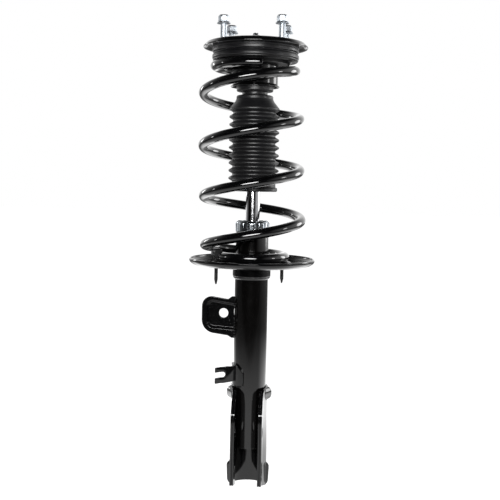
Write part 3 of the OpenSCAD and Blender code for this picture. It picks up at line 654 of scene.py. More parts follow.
@dataclass
class BootAndStop:
    """The blown boot with its ribs, and the foam stop inside it."""

    neck_r: float = 28.5
    waist_r: float = 19.7
    skirt_r: float = 34.4
    lip_r: float = 37.2
    ribs: int = 10
    pitch: float = 11.85
    rib_r: float = 38.9
    valley_r: float = 33.1
    first_z: float = -103.2
    wall: float = 2.2
    top: float = -62.0
    bottom: float = -230.0
    stop_bore: float = 11.5
    stop_top: float = -48.0

    def build(self) -> None:
        """Makes the boot and the stop, each with a mesh of its own. On the real strut both flatten as it
        shortens.
        """
        boot = Shell().surface(lathe(self._boot_profile(), 136)).piece(
            "ribbed_dust_boot", UPPER, BOOT_RUBBER, "boot_rubber", "dust_boot")
        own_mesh(boot)
        bore, top = self.stop_bore, self.stop_top
        stop = [(bore, top, 0.8), (24, top, 1.5), (24, -60, 1), (17.2, -60, 1), (17.2, -83, 2),
                (23.5, -86, 3), (24.5, -96, 4), (19.5, -103, 3), (23.5, -110, 4), (23.5, -118, 4),
                (18.5, -124, 3), (21.5, -130, 3.5), (21.5, -137, 3.5), (17, -142, 3), (15.5, -150, 2),
                (bore, -150, 1)]
        foam = Shell().turned(stop, 128).piece("foam_bump_stop", UPPER, STOP_FOAM, "stop_foam", "bump_stop")
        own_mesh(foam)

    def _ribs(self, shrink: float) -> list[Corner]:
        """The ribs' corners from the top, drawn in by shrink mm for the inner side."""
        # Where each corner of one rib lies down its pitch, and whether it is in the valley
        shape = [(0.1, False), (-0.1, False), (-0.4, True), (-0.6, True)]
        return [((self.valley_r if low else self.rib_r) - shrink, self.first_z + self.pitch * (at - i),
                 1.1 if low else 1.3) for i in range(self.ribs) for at, low in shape]

    def _boot_profile(self) -> Array:
        """The boot's wall, down the outside and back up the inside.

        Returns:
            Its rounded outline, as radius and height.
        """
        top, end, wall = self.top, self.bottom, self.wall
        neck, waist, skirt, lip = self.neck_r, self.waist_r, self.skirt_r, self.lip_r
        outside = [(17.5, top, 0.4), (neck, top, 1.6), (neck, top - 12, 1.2), (neck - 1, -75.6, 1),
                   (waist, -76.4, 1.2), (waist, -81, 1.2), (neck - 1.4, -82, 1), (neck, -83.6, 1),
                   (neck, -87.5, 4), (neck + 2, -91.5, 4), *self._ribs(0), (skirt, end + 15, 1),
                   (skirt, end + 6.6, 1), (lip, end + 5.2, 1.2), (lip, end + 1.2, 1.2), (lip - 1.6, end, 0.6)]
        inside = [(17.5, -82.6, 0.4), (neck - wall, -84.6, 1), (neck - wall, -88.2, 3),
                  (neck + 2 - wall, -92.6, 3), *self._ribs(wall), (skirt - wall, end + 14.6, 0.8),
                  (skirt - wall, end, 0.6)]
        return rounded(outside + inside[::-1], steps=4)


# --------------------------------------------------------------- coil spring


@dataclass
class CoilSpring:
    """A side-load coil: closed ends round the axis, and a body that bows and leans across it."""

    wire_r: float = 7.5
    coil_r: float = 75.0
    tail_r: float = 49.5
    head_r: float = 62.5
    pitch: float = 75.0
    growth: float = 7.0
    turns: float = 5.208
    tail_z: float = -330.5
    tail_deg: float = 208.0
    tail_rise: tuple[float, float] = (0.50, 0.87)
    mid_rise: tuple[float, float] = (1.28, 3.88)
    head_rise: tuple[float, float] = (4.026, 4.827)
    tail_flare: tuple[float, float] = (0.38, 0.93)
    head_draw: tuple[float, float] = (3.93, 4.48)
    lean: tuple[float, float, float] = (1.8, -4.8, 2.8)
    tilt: float = 0.028
    cut_edge: float = 0.9
    rings: int = 120
    sides: int = 40

    def _angle(self, t: Array) -> Array:
        """The direction from the axis after t turns."""
        return math.radians(self.tail_deg) + 2 * math.pi * t

    def centre(self, t: Array) -> Array:
        """The wire's centre line.

        The radius is r(t) = tail + (coil - tail) * e1 - (coil - head) * e2, with e1 and e2 smooth steps. The
        height is the running total of a pitch that the same kind of step changes at each end and along the
        middle, plus the body's tilt.

        Args:
            t: turns from the lower end.

        Returns:
            The points in mm, one row for each t.
        """
        flare, draw = ease(t, *self.tail_flare), ease(t, *self.head_draw)
        radius = self.tail_r + (self.coil_r - self.tail_r) * flare - (self.coil_r - self.head_r) * draw
        body = flare * (1 - draw)
        first, last, span = self.lean
        share = np.sin(math.pi / 2 * np.clip((t - self.tail_flare[1]) / span, 0, 1))
        offset = (first + (last - first) * share) * body
        height = (self.tail_z + self.pitch * self._run(t, self.tail_rise)
                  + self.growth * self._run(t, self.mid_rise)
                  - (self.pitch + self.growth) * self._run(t, self.head_rise))
        x, y = polar(radius, self._angle(t)).T
        return np.stack([offset + x, y, height + self.tilt * x * body], axis=1)

    @staticmethod
    def _run(t: Array, span: tuple[float, float]) -> Array:
        """Running total of the smooth step over span: w * (u**3 - u**4 / 2), then 1 for each further turn.

        Args:
            t: turns from the lower end.
            span: where the step starts and ends, in turns.

        Returns:
            The total at each t.
        """
        wide = span[1] - span[0]
        u = np.clip((t - span[0]) / wide, 0, 1)
        return wide * (u**3 - u**4 / 2) + np.maximum(0, t - span[1])

    def build(self) -> None:
        """Sweeps the round wire along the line, with the edges of both cut ends eased."""
        t = np.linspace(0, self.turns, int(self.turns * self.rings))
        line, step = self.centre(t), 1e-3
        along = unit(self.centre(t + step) - self.centre(t - step))
        out = polar(1.0, self._angle(t), 0.0)
        out = unit(out - along * (along * out).sum(1)[:, None])
        up = np.cross(along, out)
        around = full_turn(self.sides)
        ring = np.cos(around)[None, :, None] * out[:, None] + np.sin(around)[None, :, None] * up[:, None]
        body = line[:, None] + self.wire_r * ring
        back, inset = quarter_round(self.cut_edge, 6)
        radius = (self.wire_r - inset)[:, None, None]
        tail = (line[0] + along[0] * back[:, None])[:, None] + radius * ring[0]
        head = (line[-1] - along[-1] * back[:, None])[:, None] + radius * ring[-1]
        coil = Shell().surface(np.concatenate([tail, body[2:-2], head[::-1]]), Caps.ROWS).piece(
            "coated_coil_spring", UPPER, POWDER_COAT, "spring_coating", "coil_spring")
        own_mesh(coil)


# -------------------------------------------------------------------- damper


@dataclass
class Damper:
    """The chromed rod, the painted tube with its foot, and the ribbed cap."""

    tube_r: float = TUBE_R
    wall: float = 2.2
    top: float = -277.5
    bottom: float = -622.0
    skirt: float = -292.0
    cap_ribs: int = 10

    def build(self) -> None:
        """Makes the rod, the tube, its pressed foot and the cap."""
        rod = [(0.01, 15.3, 0), (4.2, 15.3, 0.4), (4.8, 14.7, 0.4), (4.8, 12.2, 0.3), (6, 12.2, 0.3),
               (7, 11.2, 0.4), (7, -20, 0.4), (10, -20, 0.5), (11, -21, 0.5), (11, -334.4, 0.3),
               (10.4, -335, 0.3), (6, -335, 0.3), (6, -366, 0.3), (0.01, -366, 0)]
        Shell().turned(rod, 128, solid=True).piece(
            "chromed_piston_rod", TOP, HARD_CHROME, "chrome_rod", "piston_rod")
        r, bore, top = self.tube_r, self.tube_r - self.wall, self.top
        tube = [(bore, self.bottom, 0.5), (r, self.bottom, 0.7), (r, top - 1.6, 1.2), (r - 1.6, top, 1),
                (19, top, 0.5), (19, top - 2, 0.5), (bore, top - 2, 0.5)]
        Shell().turned(tube, 224, steps=8).piece(
            "painted_damper_tube", LOWER, TUBE_PAINT, "tube_paint", "reservoir_tube")
        foot = [(0.01, -616, 0), (bore - 3, -616, 1.6), (bore, -614.4, 1), (bore, -621.4, 0.6),
                (bore - 1.6, -621.4, 0.6), (bore - 6, -618.6, 3), (0.01, -618.6, 0)]
        Shell().turned(foot, 128, solid=True).piece(
            "pressed_tube_foot", LOWER, TUBE_PAINT, "tube_paint", "tube_end_cap")
        self._cap()

    def _cap(self) -> None:
        """The bumper cap, one sheet whose ribs swell outwards over its edge.

        The rib's share at angle a is a smooth step of cos(n * a), which gives a flat crown and soft flanks.
        """
        top, skirt, r = self.top + 0.1, self.skirt, self.tube_r
        inside = [(12.4, top, 0.2), (24.2, top, 0.5), (r + 0.05, top - 1.2, 0.4), (r + 0.05, skirt, 0.2)]
        valley = [(r + 0.7, skirt, 0.3), (r + 0.7, top - 0.6, 0.9), (24.2, top + 0.9, 0.9),
                  (12.4, top + 0.9, 0.3)]
        crown = [(r + 0.9, skirt, 0.3), (27.0, top - 1.6, 1.6), (22.6, top + 2.4, 1.6),
                 (13.4, top + 1.6, 0.5)]
        low, high = (resampled(rounded(inside + outside), 160, True) for outside in (valley, crown))
        angle = full_turn(480)
        share = ease(np.cos(self.cap_ribs * (angle - math.pi / self.cap_ribs)), -0.25, 0.55)[:, None, None]
        profile = low[None] * (1 - share) + high[None] * share
        grid = polar(profile[..., 0], angle[:, None], profile[..., 1])
        Shell().surface(grid).piece("ribbed_bumper_cap", LOWER, CAP_ZINC, "zinc_steel", "bumper_cap")


# ---------------------------------------------------------------- lower seat


@dataclass
class LowerSeat:
    """The pressed dish on the tube, its weld, and the rubber under the coil's tail."""

    rim_r: float = 97.0
    rim_z: float = -333.1
    floor_z: float = -341.2
    thick: float = 2.8
    tube_r: float = TUBE_R
    collar_r: float = 29.3
    weld_z: float = -360.6
    stop_deg: tuple[float, float] = (186.2, 204.8)
    pegs: tuple = ((-54.0, -12.0), (45.8, 28.0))

    def build(self) -> None:
        """Makes the dish, the weld bead and the rubber."""
        rim, r, top, collar = self.rim_z, self.rim_r, self.floor_z, self.collar_r
        under = top - self.thick
        dish = [(self.tube_r, -361, 0.3), (collar, -361, 1), (collar, under - 3.2, 3),
                (collar + 4.4, under, 3), (r - 14, under, 12), (r - 6, under + 1.4, 8),
                (r - 1.6, under + 4.2, 5), (r, under + 7, 3), (r, rim - 1.6, 0.8), (r - 0.7, rim - 0.3, 0.8),
                (r - 1.9, rim, 0.8), (r - 2.9, rim - 0.7, 0.7), (r - 3.1, top + 5, 3),
                (r - 5.2, top + 2.2, 4), (r - 10, top + 0.4, 6), (r - 15, top, 8), (38, top, 4),
                (33, top + 3, 5), (29.6, -334, 3), (27, -331.4, 0.8), (self.tube_r, -331.4, 0.3)]
        Shell().turned(dish, 320, steps=8).piece(
            "lower_seat_dish", LOWER, DIP_COAT, "gloss_black_steel", "lower_spring_seat")
        self._weld()
        self._rubber()

    def _weld(self) -> None:
        """The weld bead round the tube, in overlapping ripples.

        Its swell is the root of |sin(40 * a + 0.35 * sin(7 * a))|, so that its ripples aren't all as wide.
        """
        angle = full_turn(720)[:, None]
        swell = np.abs(np.sin(40 * angle + 0.35 * np.sin(7 * angle))) ** 0.5
        root, top = self.tube_r - 0.2, self.weld_z
        base = rounded([(root, top, 0.2), (28.6, top, 0.8), (28.2, top - 2.6, 1.2), (26.6, top - 4.6, 0.8),
                        (root, top - 4.8, 0.2)])
        out, height = base[None, :, 0], base[None, :, 1]
        radius = out + 0.35 * (swell - 0.7) * np.clip((out - self.tube_r) / 2, 0, 1)
        Shell().surface(polar(radius, angle, height)).piece(
            "seat_weld_ripple", LOWER, DIP_COAT, "gloss_black_steel", "seat_weld_bead")

    def _rubber(self) -> None:
        """The rubber ring with its stop block and two locating pegs."""
        floor = self.floor_z
        ring = [(38.6, floor, 0.6), (61, floor, 0.6), (61, -339.5, 0.8), (59.8, -338.3, 1),
                (52.5, -338.1, 2), (45.6, -338.1, 3), (42.1, -335.9, 2.5), (41.1, -332, 1),
                (40.2, -330.5, 1), (38.6, -331.5, 0.8)]
        shell = Shell().turned(ring, 256).surface(self._stop(), Caps.ROWS)
        peg = [(0.01, floor + 1, 0), (2.7, floor + 1, 0.2), (2.7, -366.6, 1.2), (1.1, -373.6, 0.8),
               (0.01, -374.4, 0)]
        for x, y in self.pegs:
            shell.turned(peg, 48, solid=True, place=(x, y, 0))
        shell.piece("lower_coil_rubber", LOWER, SEAT_RUBBER, "seat_rubber", "lower_insulator")

    def _stop(self) -> Array:
        """The block that the wire's end butts against. Each end is a quarter round, as end_inset says.

        Returns:
            Its sections from one end to the other, as a grid.
        """
        low, high, half = self.floor_z + 1, -318.0, 8.0
        section = rounded([(48, low, 0.5), (60, low, 0.5), (60, -332.5, 2), (63.4, -328.5, 1.5),
                           (63.4, high - 3, 2.2), (60.4, high, 2.2), (51, high, 2.2), (48, high - 3, 2)])
        middle = np.array([55.5, -330.0])
        angle = np.radians(np.linspace(*self.stop_deg, 60))
        shrink = 1 - end_inset((angle - angle[0]) * middle[0], 2.0) / half
        plan = middle + (section - middle)[None] * shrink[:, None, None]
        return polar(plan[..., 0], angle[:, None], plan[..., 1])


# ------------------------------------------------------------------ brackets


@dataclass(frozen=True)
class Swelling:
    """One swelling of the clevis: a boss that stands upright beside the tube.

    centre is its middle's distance from the plane x = 0, and taper how much less that is at its foot. Ahead
    of its middle, which lies at y, it runs out by slope mm for each mm.
    """

    centre: float
    taper: float
    y: float
    radius: float
    low: float
    high: float
    slope: float

    def side(self, y: Array, z: Array, depth: Array) -> Array:
        """How far out the swelling's side lies at y and z: c + sqrt(r * r - dy * dy - dz * dz).

        Args:
            y: the points' Y.
            z: the points' heights.
            depth: how far inside the outer face each point is, which r is less by.

        Returns:
            The distances from the plane x = 0, and 0 where the swelling isn't.
        """
        r = self.radius - depth
        along = np.clip((self.high - z) / (self.high - self.low), 0, 1)
        dz = np.maximum(0, np.maximum(self.low + self.radius - z, z - (self.high - self.radius)))
        dome = np.sqrt(np.maximum(0, r * r - dz**2 - np.clip(y - self.y, 0, None) ** 2))
        wedge = dome - np.clip(self.y - y, 0, None) * self.slope
        return np.where((wedge > 0) & (dome > 0), self.centre - self.taper * along + wedge, 0)


@dataclass
class KnuckleBracket:
    """The clevis that holds the knuckle: an outer sheet round the tube and a doubler inside each cheek."""

    tube_r: float = TUBE_R
    thick: float = 3.0
    gap: float = 35.2
    front: float = -57.0
    top: float = -530.0
    foot: float = -686.0
    eased: float = 0.7
    doubler_back: float = -25.2
    pinch: tuple[float, float] = (-7.5, -29.5)
    hole: tuple[float, float] = (-40.0, -622.0)
    hole_r: float = 8.0
    hole_gap: float = 60.0
    swellings: tuple[Swelling, ...] = (Swelling(26, 0, -5, 9, -550.4, -529.6, 0.55),
                                       Swelling(25.2, 1.8, -7, 8.2, -681.6, -645, 1.3))

    def build(self) -> None:
        """Makes the outer sheet and the doublers, and drills both for the two bolts."""
        cheek, wrap = self.gap / 2 + self.thick * 1.5, self.tube_r + self.thick / 2
        bend = [(-cheek, self.front, 0), (-cheek, self.pinch[1], 9), (-wrap + 0.3, self.pinch[0], 9),
                (-wrap, 0.2, 6), (-wrap, 30, 0)]
        side = rounded(bend, closed=False, steps=10)
        # The half circle round the tube takes over where the side has come level with its axis
        side = side[side[:, 1] < 0.2]
        back = polar(wrap, np.linspace(math.pi, 0, 90))
        path = resampled(np.vstack([side, back, side[::-1] * [-1, 1]]), 420)
        grid = self._swollen(sheet(path, *self._edges(path[:, 1]), self.thick, self.eased))
        outer = Shell().surface(grid, Caps.ROWS).piece(
            "knuckle_clevis_wrap", LOWER, DIP_COAT, "gloss_black_steel", "knuckle_bracket")
        inner = Shell()
        # The doublers are a little smaller than the cheeks, so that no two faces share a plane
        less = 0.1
        for sign in (-1, 1):
            x = sign * (self.gap / 2 + self.thick / 2)
            path = resampled(np.array([[x, self.front + less], [x, self.doubler_back]])[::-sign], 60)
            low, high = self._edges(path[:, 1])
            inner.surface(sheet(path, low + less, high - less, self.thick - 0.06, self.eased), Caps.ROWS)
        doublers = inner.piece(
            "knuckle_clevis_doublers", LOWER, DIP_COAT, "gloss_black_steel", "knuckle_reinforcements")
        for piece in (outer, doublers):
            self._drill(piece)

    def _edges(self, y: Array) -> tuple[Array, Array]:
        """The cheeks' outline, seen from the side.

        Args:
            y: where to read it.

        Returns:
            The level of its lower edge and of its upper edge at each y.
        """
        front, top, foot = self.front, self.top, self.foot
        upper = [(front - 0.01, -575, 0), (front, -574.9, 0.4), (-55, -562, 4), (-44, top - 14, 10),
                 (-24, top - 2, 14), (0, top, 8), (60, top, 0)]
        lower = [(front - 0.01, -667.5, 0), (front, -667.6, 0.4), (-10, foot + 5.5, 12), (4, foot + 2, 8),
                 (29.4, foot, 8), (60, foot, 0)]
        low, high = (rounded(corners, closed=False).T for corners in (lower, upper))
        return np.interp(y, *low), np.interp(y, *high)

    def _swollen(self, grid: Array) -> Array:
        """Presses the swellings out of the sheet on both sides.

        The sheet follows the larger of a swelling's side and its own through the smooth maximum
        (a + b + sqrt((a - b) ** 2 + s * s)) / 2, less 0.3 * s.

        Args:
            grid: the sheet's points.

        Returns:
            The points with the swellings.
        """
        x, y, z = np.abs(grid[..., 0]), grid[..., 1], grid[..., 2]
        depth = np.where(x < self._middle(y), self.thick, 0)
        soft = 1.2
        for swelling in self.swellings:
            bulge = swelling.side(y, z, depth)
            lifted = (x + bulge + np.sqrt((x - bulge) ** 2 + soft**2)) / 2
            x = np.where(bulge > x - 2, np.maximum(x, lifted - soft * 0.3), x)
        return np.stack([np.sign(grid[..., 0]) * x, y, z], -1)

    def _middle(self, y: Array) -> Array:
        """How far the sheet's middle line lies from the plane x = 0.

        Args:
            y: where to read it.

        Returns:
            The distance at each y.
        """
        wrap = self.tube_r + self.thick / 2
        cheek = self.gap / 2 + self.thick * 1.5
        front = np.interp(y, [self.pinch[1], self.pinch[0], 0], [cheek, wrap - 0.3, wrap])
        return np.where(y > 0, np.sqrt(np.maximum(wrap**2 - y**2, 0)), front)

    def _drill(self, piece: bpy.types.Object) -> None:
        """Cuts the two bolt holes through a finished sheet.

        Args:
            piece: the sheet, whose mesh is replaced.
        """
        drill_reach = 50.0
        shell = Shell()
        for sign in (-1, 1):
            place = np.array([self.hole[0], self.hole[1] + sign * self.hole_gap / 2])
            circle = place + polar(self.hole_r, full_turn(64))
            ends = [np.insert(circle, 0, x, axis=1) for x in (-drill_reach, drill_reach)]
            shell.surface(np.stack(ends), Caps.ROWS)
        drill = shell.piece("drill", LOWER, DIP_COAT, "gloss_black_steel")
        cut = piece.modifiers.new("bolt_holes", "BOOLEAN")
        cut.object, cut.operation, cut.solver = drill, "DIFFERENCE", "EXACT"
        evaluated = piece.evaluated_get(bpy.context.evaluated_depsgraph_get())
        mesh = bpy.data.meshes.new_from_object(evaluated)
        piece.modifiers.clear()
        piece.data = mesh
        bpy.data.objects.remove(drill)


class Line(Enum):
    """A line of the link bracket that its surface follows, from the inside out."""

    HOLE = "the edge of the hole"
    PAN = "the middle of the step round the pan"
    OUTLINE = "the sheet's own outline"


@dataclass
class LinkBracket:
    """The pressed pan for the anti-roll bar's link, welded edge-on to the tube.

    relief is the notch at the weld: its middle's height, its half height and its depth.
    """

    hole: tuple[float, float] = (-42.2, -419.3)
    hole_r: float = 7.2
    thick: float = 4.0
    step: float = 5.0
    eased: float = 0.6
    tube_r: float = TUBE_R
    relief: tuple[float, float, float] = (-416.0, 7.0, 1.5)
    outline: tuple[Corner, ...] = (
        (-75.6, -390.8, 15.0), (-35.0, -397.0, 3.0), (-29.0, -392.4, 2.0), (-8.0, -392.4, 0.5),
        (-8.0, -456.8, 0.5), (-29.0, -456.8, 2.0), (-35.0, -453.2, 3.0), (-75.6, -447.7, 24.0))
    pan: tuple[Corner, ...] = (
        (-66.6, -399.4, 8.0), (-8.0, -408.2, 0.6), (-8.0, -444.0, 0.6), (-66.6, -440.6, 10.0))
    weld_span: tuple[float, float] = (-456.5, -393.4)
    bead_r: float = 1.7
    ripple: float = 4.2

    def build(self) -> None:
        """Makes the pan as one closed surface round its hole, then its welds."""
        thick, edge = self.thick, self.eased
        floor, rim = -thick / 2, -thick / 2 - self.step
        # Stations across the sheet's front: the line that it follows, how far inside that, and its level
        rounding = list(zip(*quarter_round(edge)))
        short = (Line.PAN, 3.4, floor)
        front = [*((Line.HOLE, -away, floor + back) for away, back in rounding),
                 (Line.HOLE, -edge - 0.6, floor), short, (Line.PAN, 2.5, floor)]
        front += [(Line.PAN, 2.0 - 4.0 * u, floor + (rim - floor) * ease(u, 0, 1))
                  for u in np.linspace(0, 1, 20)]
        front += [(Line.PAN, -2.5, rim), (Line.OUTLINE, 1.2, rim),
                  *((Line.OUTLINE, away, rim + back) for away, back in rounding[::-1])]
        # The back lies one thickness behind the front, and mirrors it at the two edges
        mirror = {Line.HOLE: 2 * floor + thick, Line.OUTLINE: 2 * rim + thick}
        back = [(line, size, mirror[line] - level if line in mirror else level + thick)
                for line, size, level in front[::-1]]
        stations, angle = front + back, full_turn(640)
        grid = np.stack([self._station(*station, angle) for station in stations], axis=1)
        middle, half, deep = self.relief
        notch = deep * np.sqrt(np.clip(1 - ((grid[..., 2] - middle) / half) ** 2, 0, 1))
        wall = 0.3 - np.sqrt(np.maximum(self.tube_r**2 - grid[..., 1] ** 2, 0)) - notch
        # One loop of the flat stops short of the wall, so that the shading of the wall's corner stays narrow
        flat = np.array([station[:2] == short[:2] for station in stations])
        wall[:, flat] += notch[:, flat] - deep - 0.9
        # Beyond the wall a hundredth of the distance stays, because points that coincide spoil the shading
        grid[..., 0] = np.minimum(grid[..., 0], wall + 0.01 * (grid[..., 0] - wall))
        shell = Shell().surface(grid)
        # Beads on both faces of the sheet, below and above the notch
        for y in (rim - 0.2, floor + thick - 1.2):
            for low, high in ((self.weld_span[0], middle - half), (middle + half, self.weld_span[1])):
                shell.surface(self._bead(y, low, high), Caps.ROWS)
        shell.piece("link_bracket_pan", LOWER, DIP_COAT, "gloss_black_steel", "sway_link_bracket")

    def _station(self, line: Line, size: float, level: float, angle: Array) -> Array:
        """One loop of the pan's surface.

        Args:
            line: the line to follow.
            size: how far the loop lies inside that line, in mm.
            level: its Y.
            angle: the directions of its points from the hole's centre.

        Returns:
            The loop's points, one row for each angle.
        """
        if line is Line.HOLE:
            reach = self.hole_r - size
        else:
            reach = self._reach(np.array(self.pan if line is Line.PAN else self.outline), size, angle)
        return np.insert(self.hole + polar(reach, angle), 1, level, axis=1)

    def _reach(self, data: Array, inset: float, angle: Array) -> Array:
        """How far an outline, drawn in by inset, lies from the hole's centre.

        Corners move by the mitre inset / sin(h) along their bisector, and their radii shrink or grow with
        them.

        Args:
            data: the outline's corners, each with its radius.
            inset: how far to draw it in, in mm.
            angle: the directions from the hole's centre.

        Returns:
            The distance in each direction.
        """
        point = data[:, :2]
        ahead, back = unit(np.roll(point, -1, 0) - point), unit(point - np.roll(point, 1, 0))
        inward = ahead[:, ::-1] * [1, -1]
        middle = inward + back[:, ::-1] * [1, -1]
        middle /= (middle * inward).sum(1)[:, None]
        turn = back[:, 0] * ahead[:, 1] - back[:, 1] * ahead[:, 0]
        radius = np.maximum(data[:, 2] + np.where(turn > 0, inset, -inset), 0.6)
        line = rounded(np.column_stack([point + middle * inset, radius]), steps=10)
        line = resampled(line, 3000, True) - self.hole
        turned = np.arctan2(line[:, 1], line[:, 0]) % (2 * math.pi)
        order = np.argsort(turned)
        return np.interp(angle, turned[order], np.linalg.norm(line, axis=1)[order], period=2 * math.pi)

    def _bead(self, y: float, low: float, high: float) -> Array:
        """A rippled weld bead up the joint of bracket and tube, with rounded ends.

        Args:
            y: where the joint is.
            low: the bead's lower end.
            high: its upper end.

        Returns:
            Its sections from end to end, as a grid.
        """
        z = np.linspace(low, high, 160)
        end = np.sqrt(np.clip(np.minimum(z - z[0], z[-1] - z) / 3, 0.02, 1))
        swell = (self.bead_r + 0.05 * np.sin(z * 2 * math.pi / self.ripple)) * end
        joint = np.array([-math.sqrt(self.tube_r**2 - y * y), y, 0])
        return joint + polar(swell[:, None], full_turn(24)[None], z[:, None])


@dataclass
class HoseBracket:
    """The forked tab for the brake hose, and the saddle that carries it."""

    slot_end: tuple[float, float] = (-36.2, -510.4)
    slope: float = 0.2
    y: float = -19.0
    thick: float = 3.0
    slot: float = 8.2
    arms: tuple[float, float] = (7.7, 8.9)
    reach: float = 16.4
    eased: float = 0.6
    tube_r: float = TUBE_R
    saddle_deg: tuple[float, float] = (252.0, 180.0)

    def build(self) -> None:
        """Makes the fork, and the saddle with its free upper corner cut away."""
        self._fork()
        angle = np.radians(np.linspace(*self.saddle_deg, 90))
        path = polar(self.tube_r + 0.1 + self.thick / 2, angle)
        top = [(-30, -494.8, 0), (-18.5, -494.8, 4), (-11, -502, 5), (-8.6, -507, 3), (-8.3, -511, 0)]
        foot = [(-30, -528.8, 0), (-8.6, -528.8, 5), (-8.3, -520, 0)]
        low, high = (np.interp(path[:, 0], *rounded(edge, closed=False).T) for edge in (foot, top))
        saddle = sheet(path, low, high, self.thick - 0.1, 0.8, 24)
        Shell().surface(saddle, Caps.ROWS).piece(
            "hose_bracket_foot", LOWER, DIP_COAT, "gloss_black_steel", "hose_bracket_saddle")

    def _fork(self) -> None:
        """The fork, cut from sheet with eased edges, and set in a shallow S from its tips to the saddle."""
        half, tip = self.slot / 2, -self.reach
        high, low = half + self.arms[0], -half - self.arms[1]

        def placed(u: float, v: float, radius: float) -> Corner:
            """The corner in X and Z that lies u along the sloping slot and v across it."""
            return self.slot_end[0] + u, self.slot_end[1] + self.slope * u + v, radius

        arc = np.linspace(math.pi / 2, -math.pi / 2, 16)
        slot = [placed(half * (math.cos(a) - 1), half * math.sin(a), 0.01) for a in arc]
        corners = [placed(tip, low, 1.4), placed(20, low, 0.5), (-16.2, -493.8, 0.5),
                   placed(9, high - 1.2, 3), placed(3.2, high, 3), placed(tip, high, 1.4),
                   placed(tip, half, 1.2), *slot, placed(tip, -half, 1.2)]
        line = resampled(rounded(corners, steps=5), 480, True)
        # The outline runs anticlockwise, so that its inner side is on the left
        inward = unit(np.roll(line, -1, 0) - np.roll(line, 1, 0))[:, ::-1] * [-1, 1]
        rise, inset = quarter_round(self.eased)
        front = self.thick / 2
        stations = [*zip(inset, rise - front), *zip(inset[::-1], front - rise[::-1])]
        grid = np.stack([np.insert(line + inward * away, 1, self.y + level, axis=1)
                         for away, level in stations])
        wall = -math.sqrt(self.tube_r**2 - self.y**2) - self.thick
        grid[..., 0] = np.minimum(grid[..., 0], wall)
        grid[..., 1] += 3 * (1 - ease(grid[..., 0], -46, -37)) + 2 * ease(grid[..., 0], -30, -23)
        Shell().surface(grid, Caps.ROWS).piece(
            "hose_fork_tab", LOWER, DIP_COAT, "gloss_black_steel", "hose_bracket")


# -------------------------------------------------------------------- studio


@dataclass(frozen=True)
class SoftBox:
    """One round-ended soft box.

    place is where it stands, and target the point that it faces. size is its width and height, and power its
    watts. Its lengths are metres, as the studio's are.
    """

    name: str
    place: Corner
    target: Corner
    size: tuple[float, float]
    power: float

    def build(self) -> None:
        """Adds the lamp, turned to its target."""
        data = bpy.data.lights.new(self.name, "AREA")
        data.shape, data.energy = "ELLIPSE", self.power
        data.size, data.size_y = self.size
        lamp = bpy.data.objects.new(self.name, data)
        bpy.context.scene.collection.objects.link(lamp)
        lamp.location = self.place
        x, y, z = np.subtract(self.target, self.place)
        lamp.rotation_euler = (math.pi / 2 + math.atan2(z, math.hypot(x, y)), 0, math.atan2(-x, y))


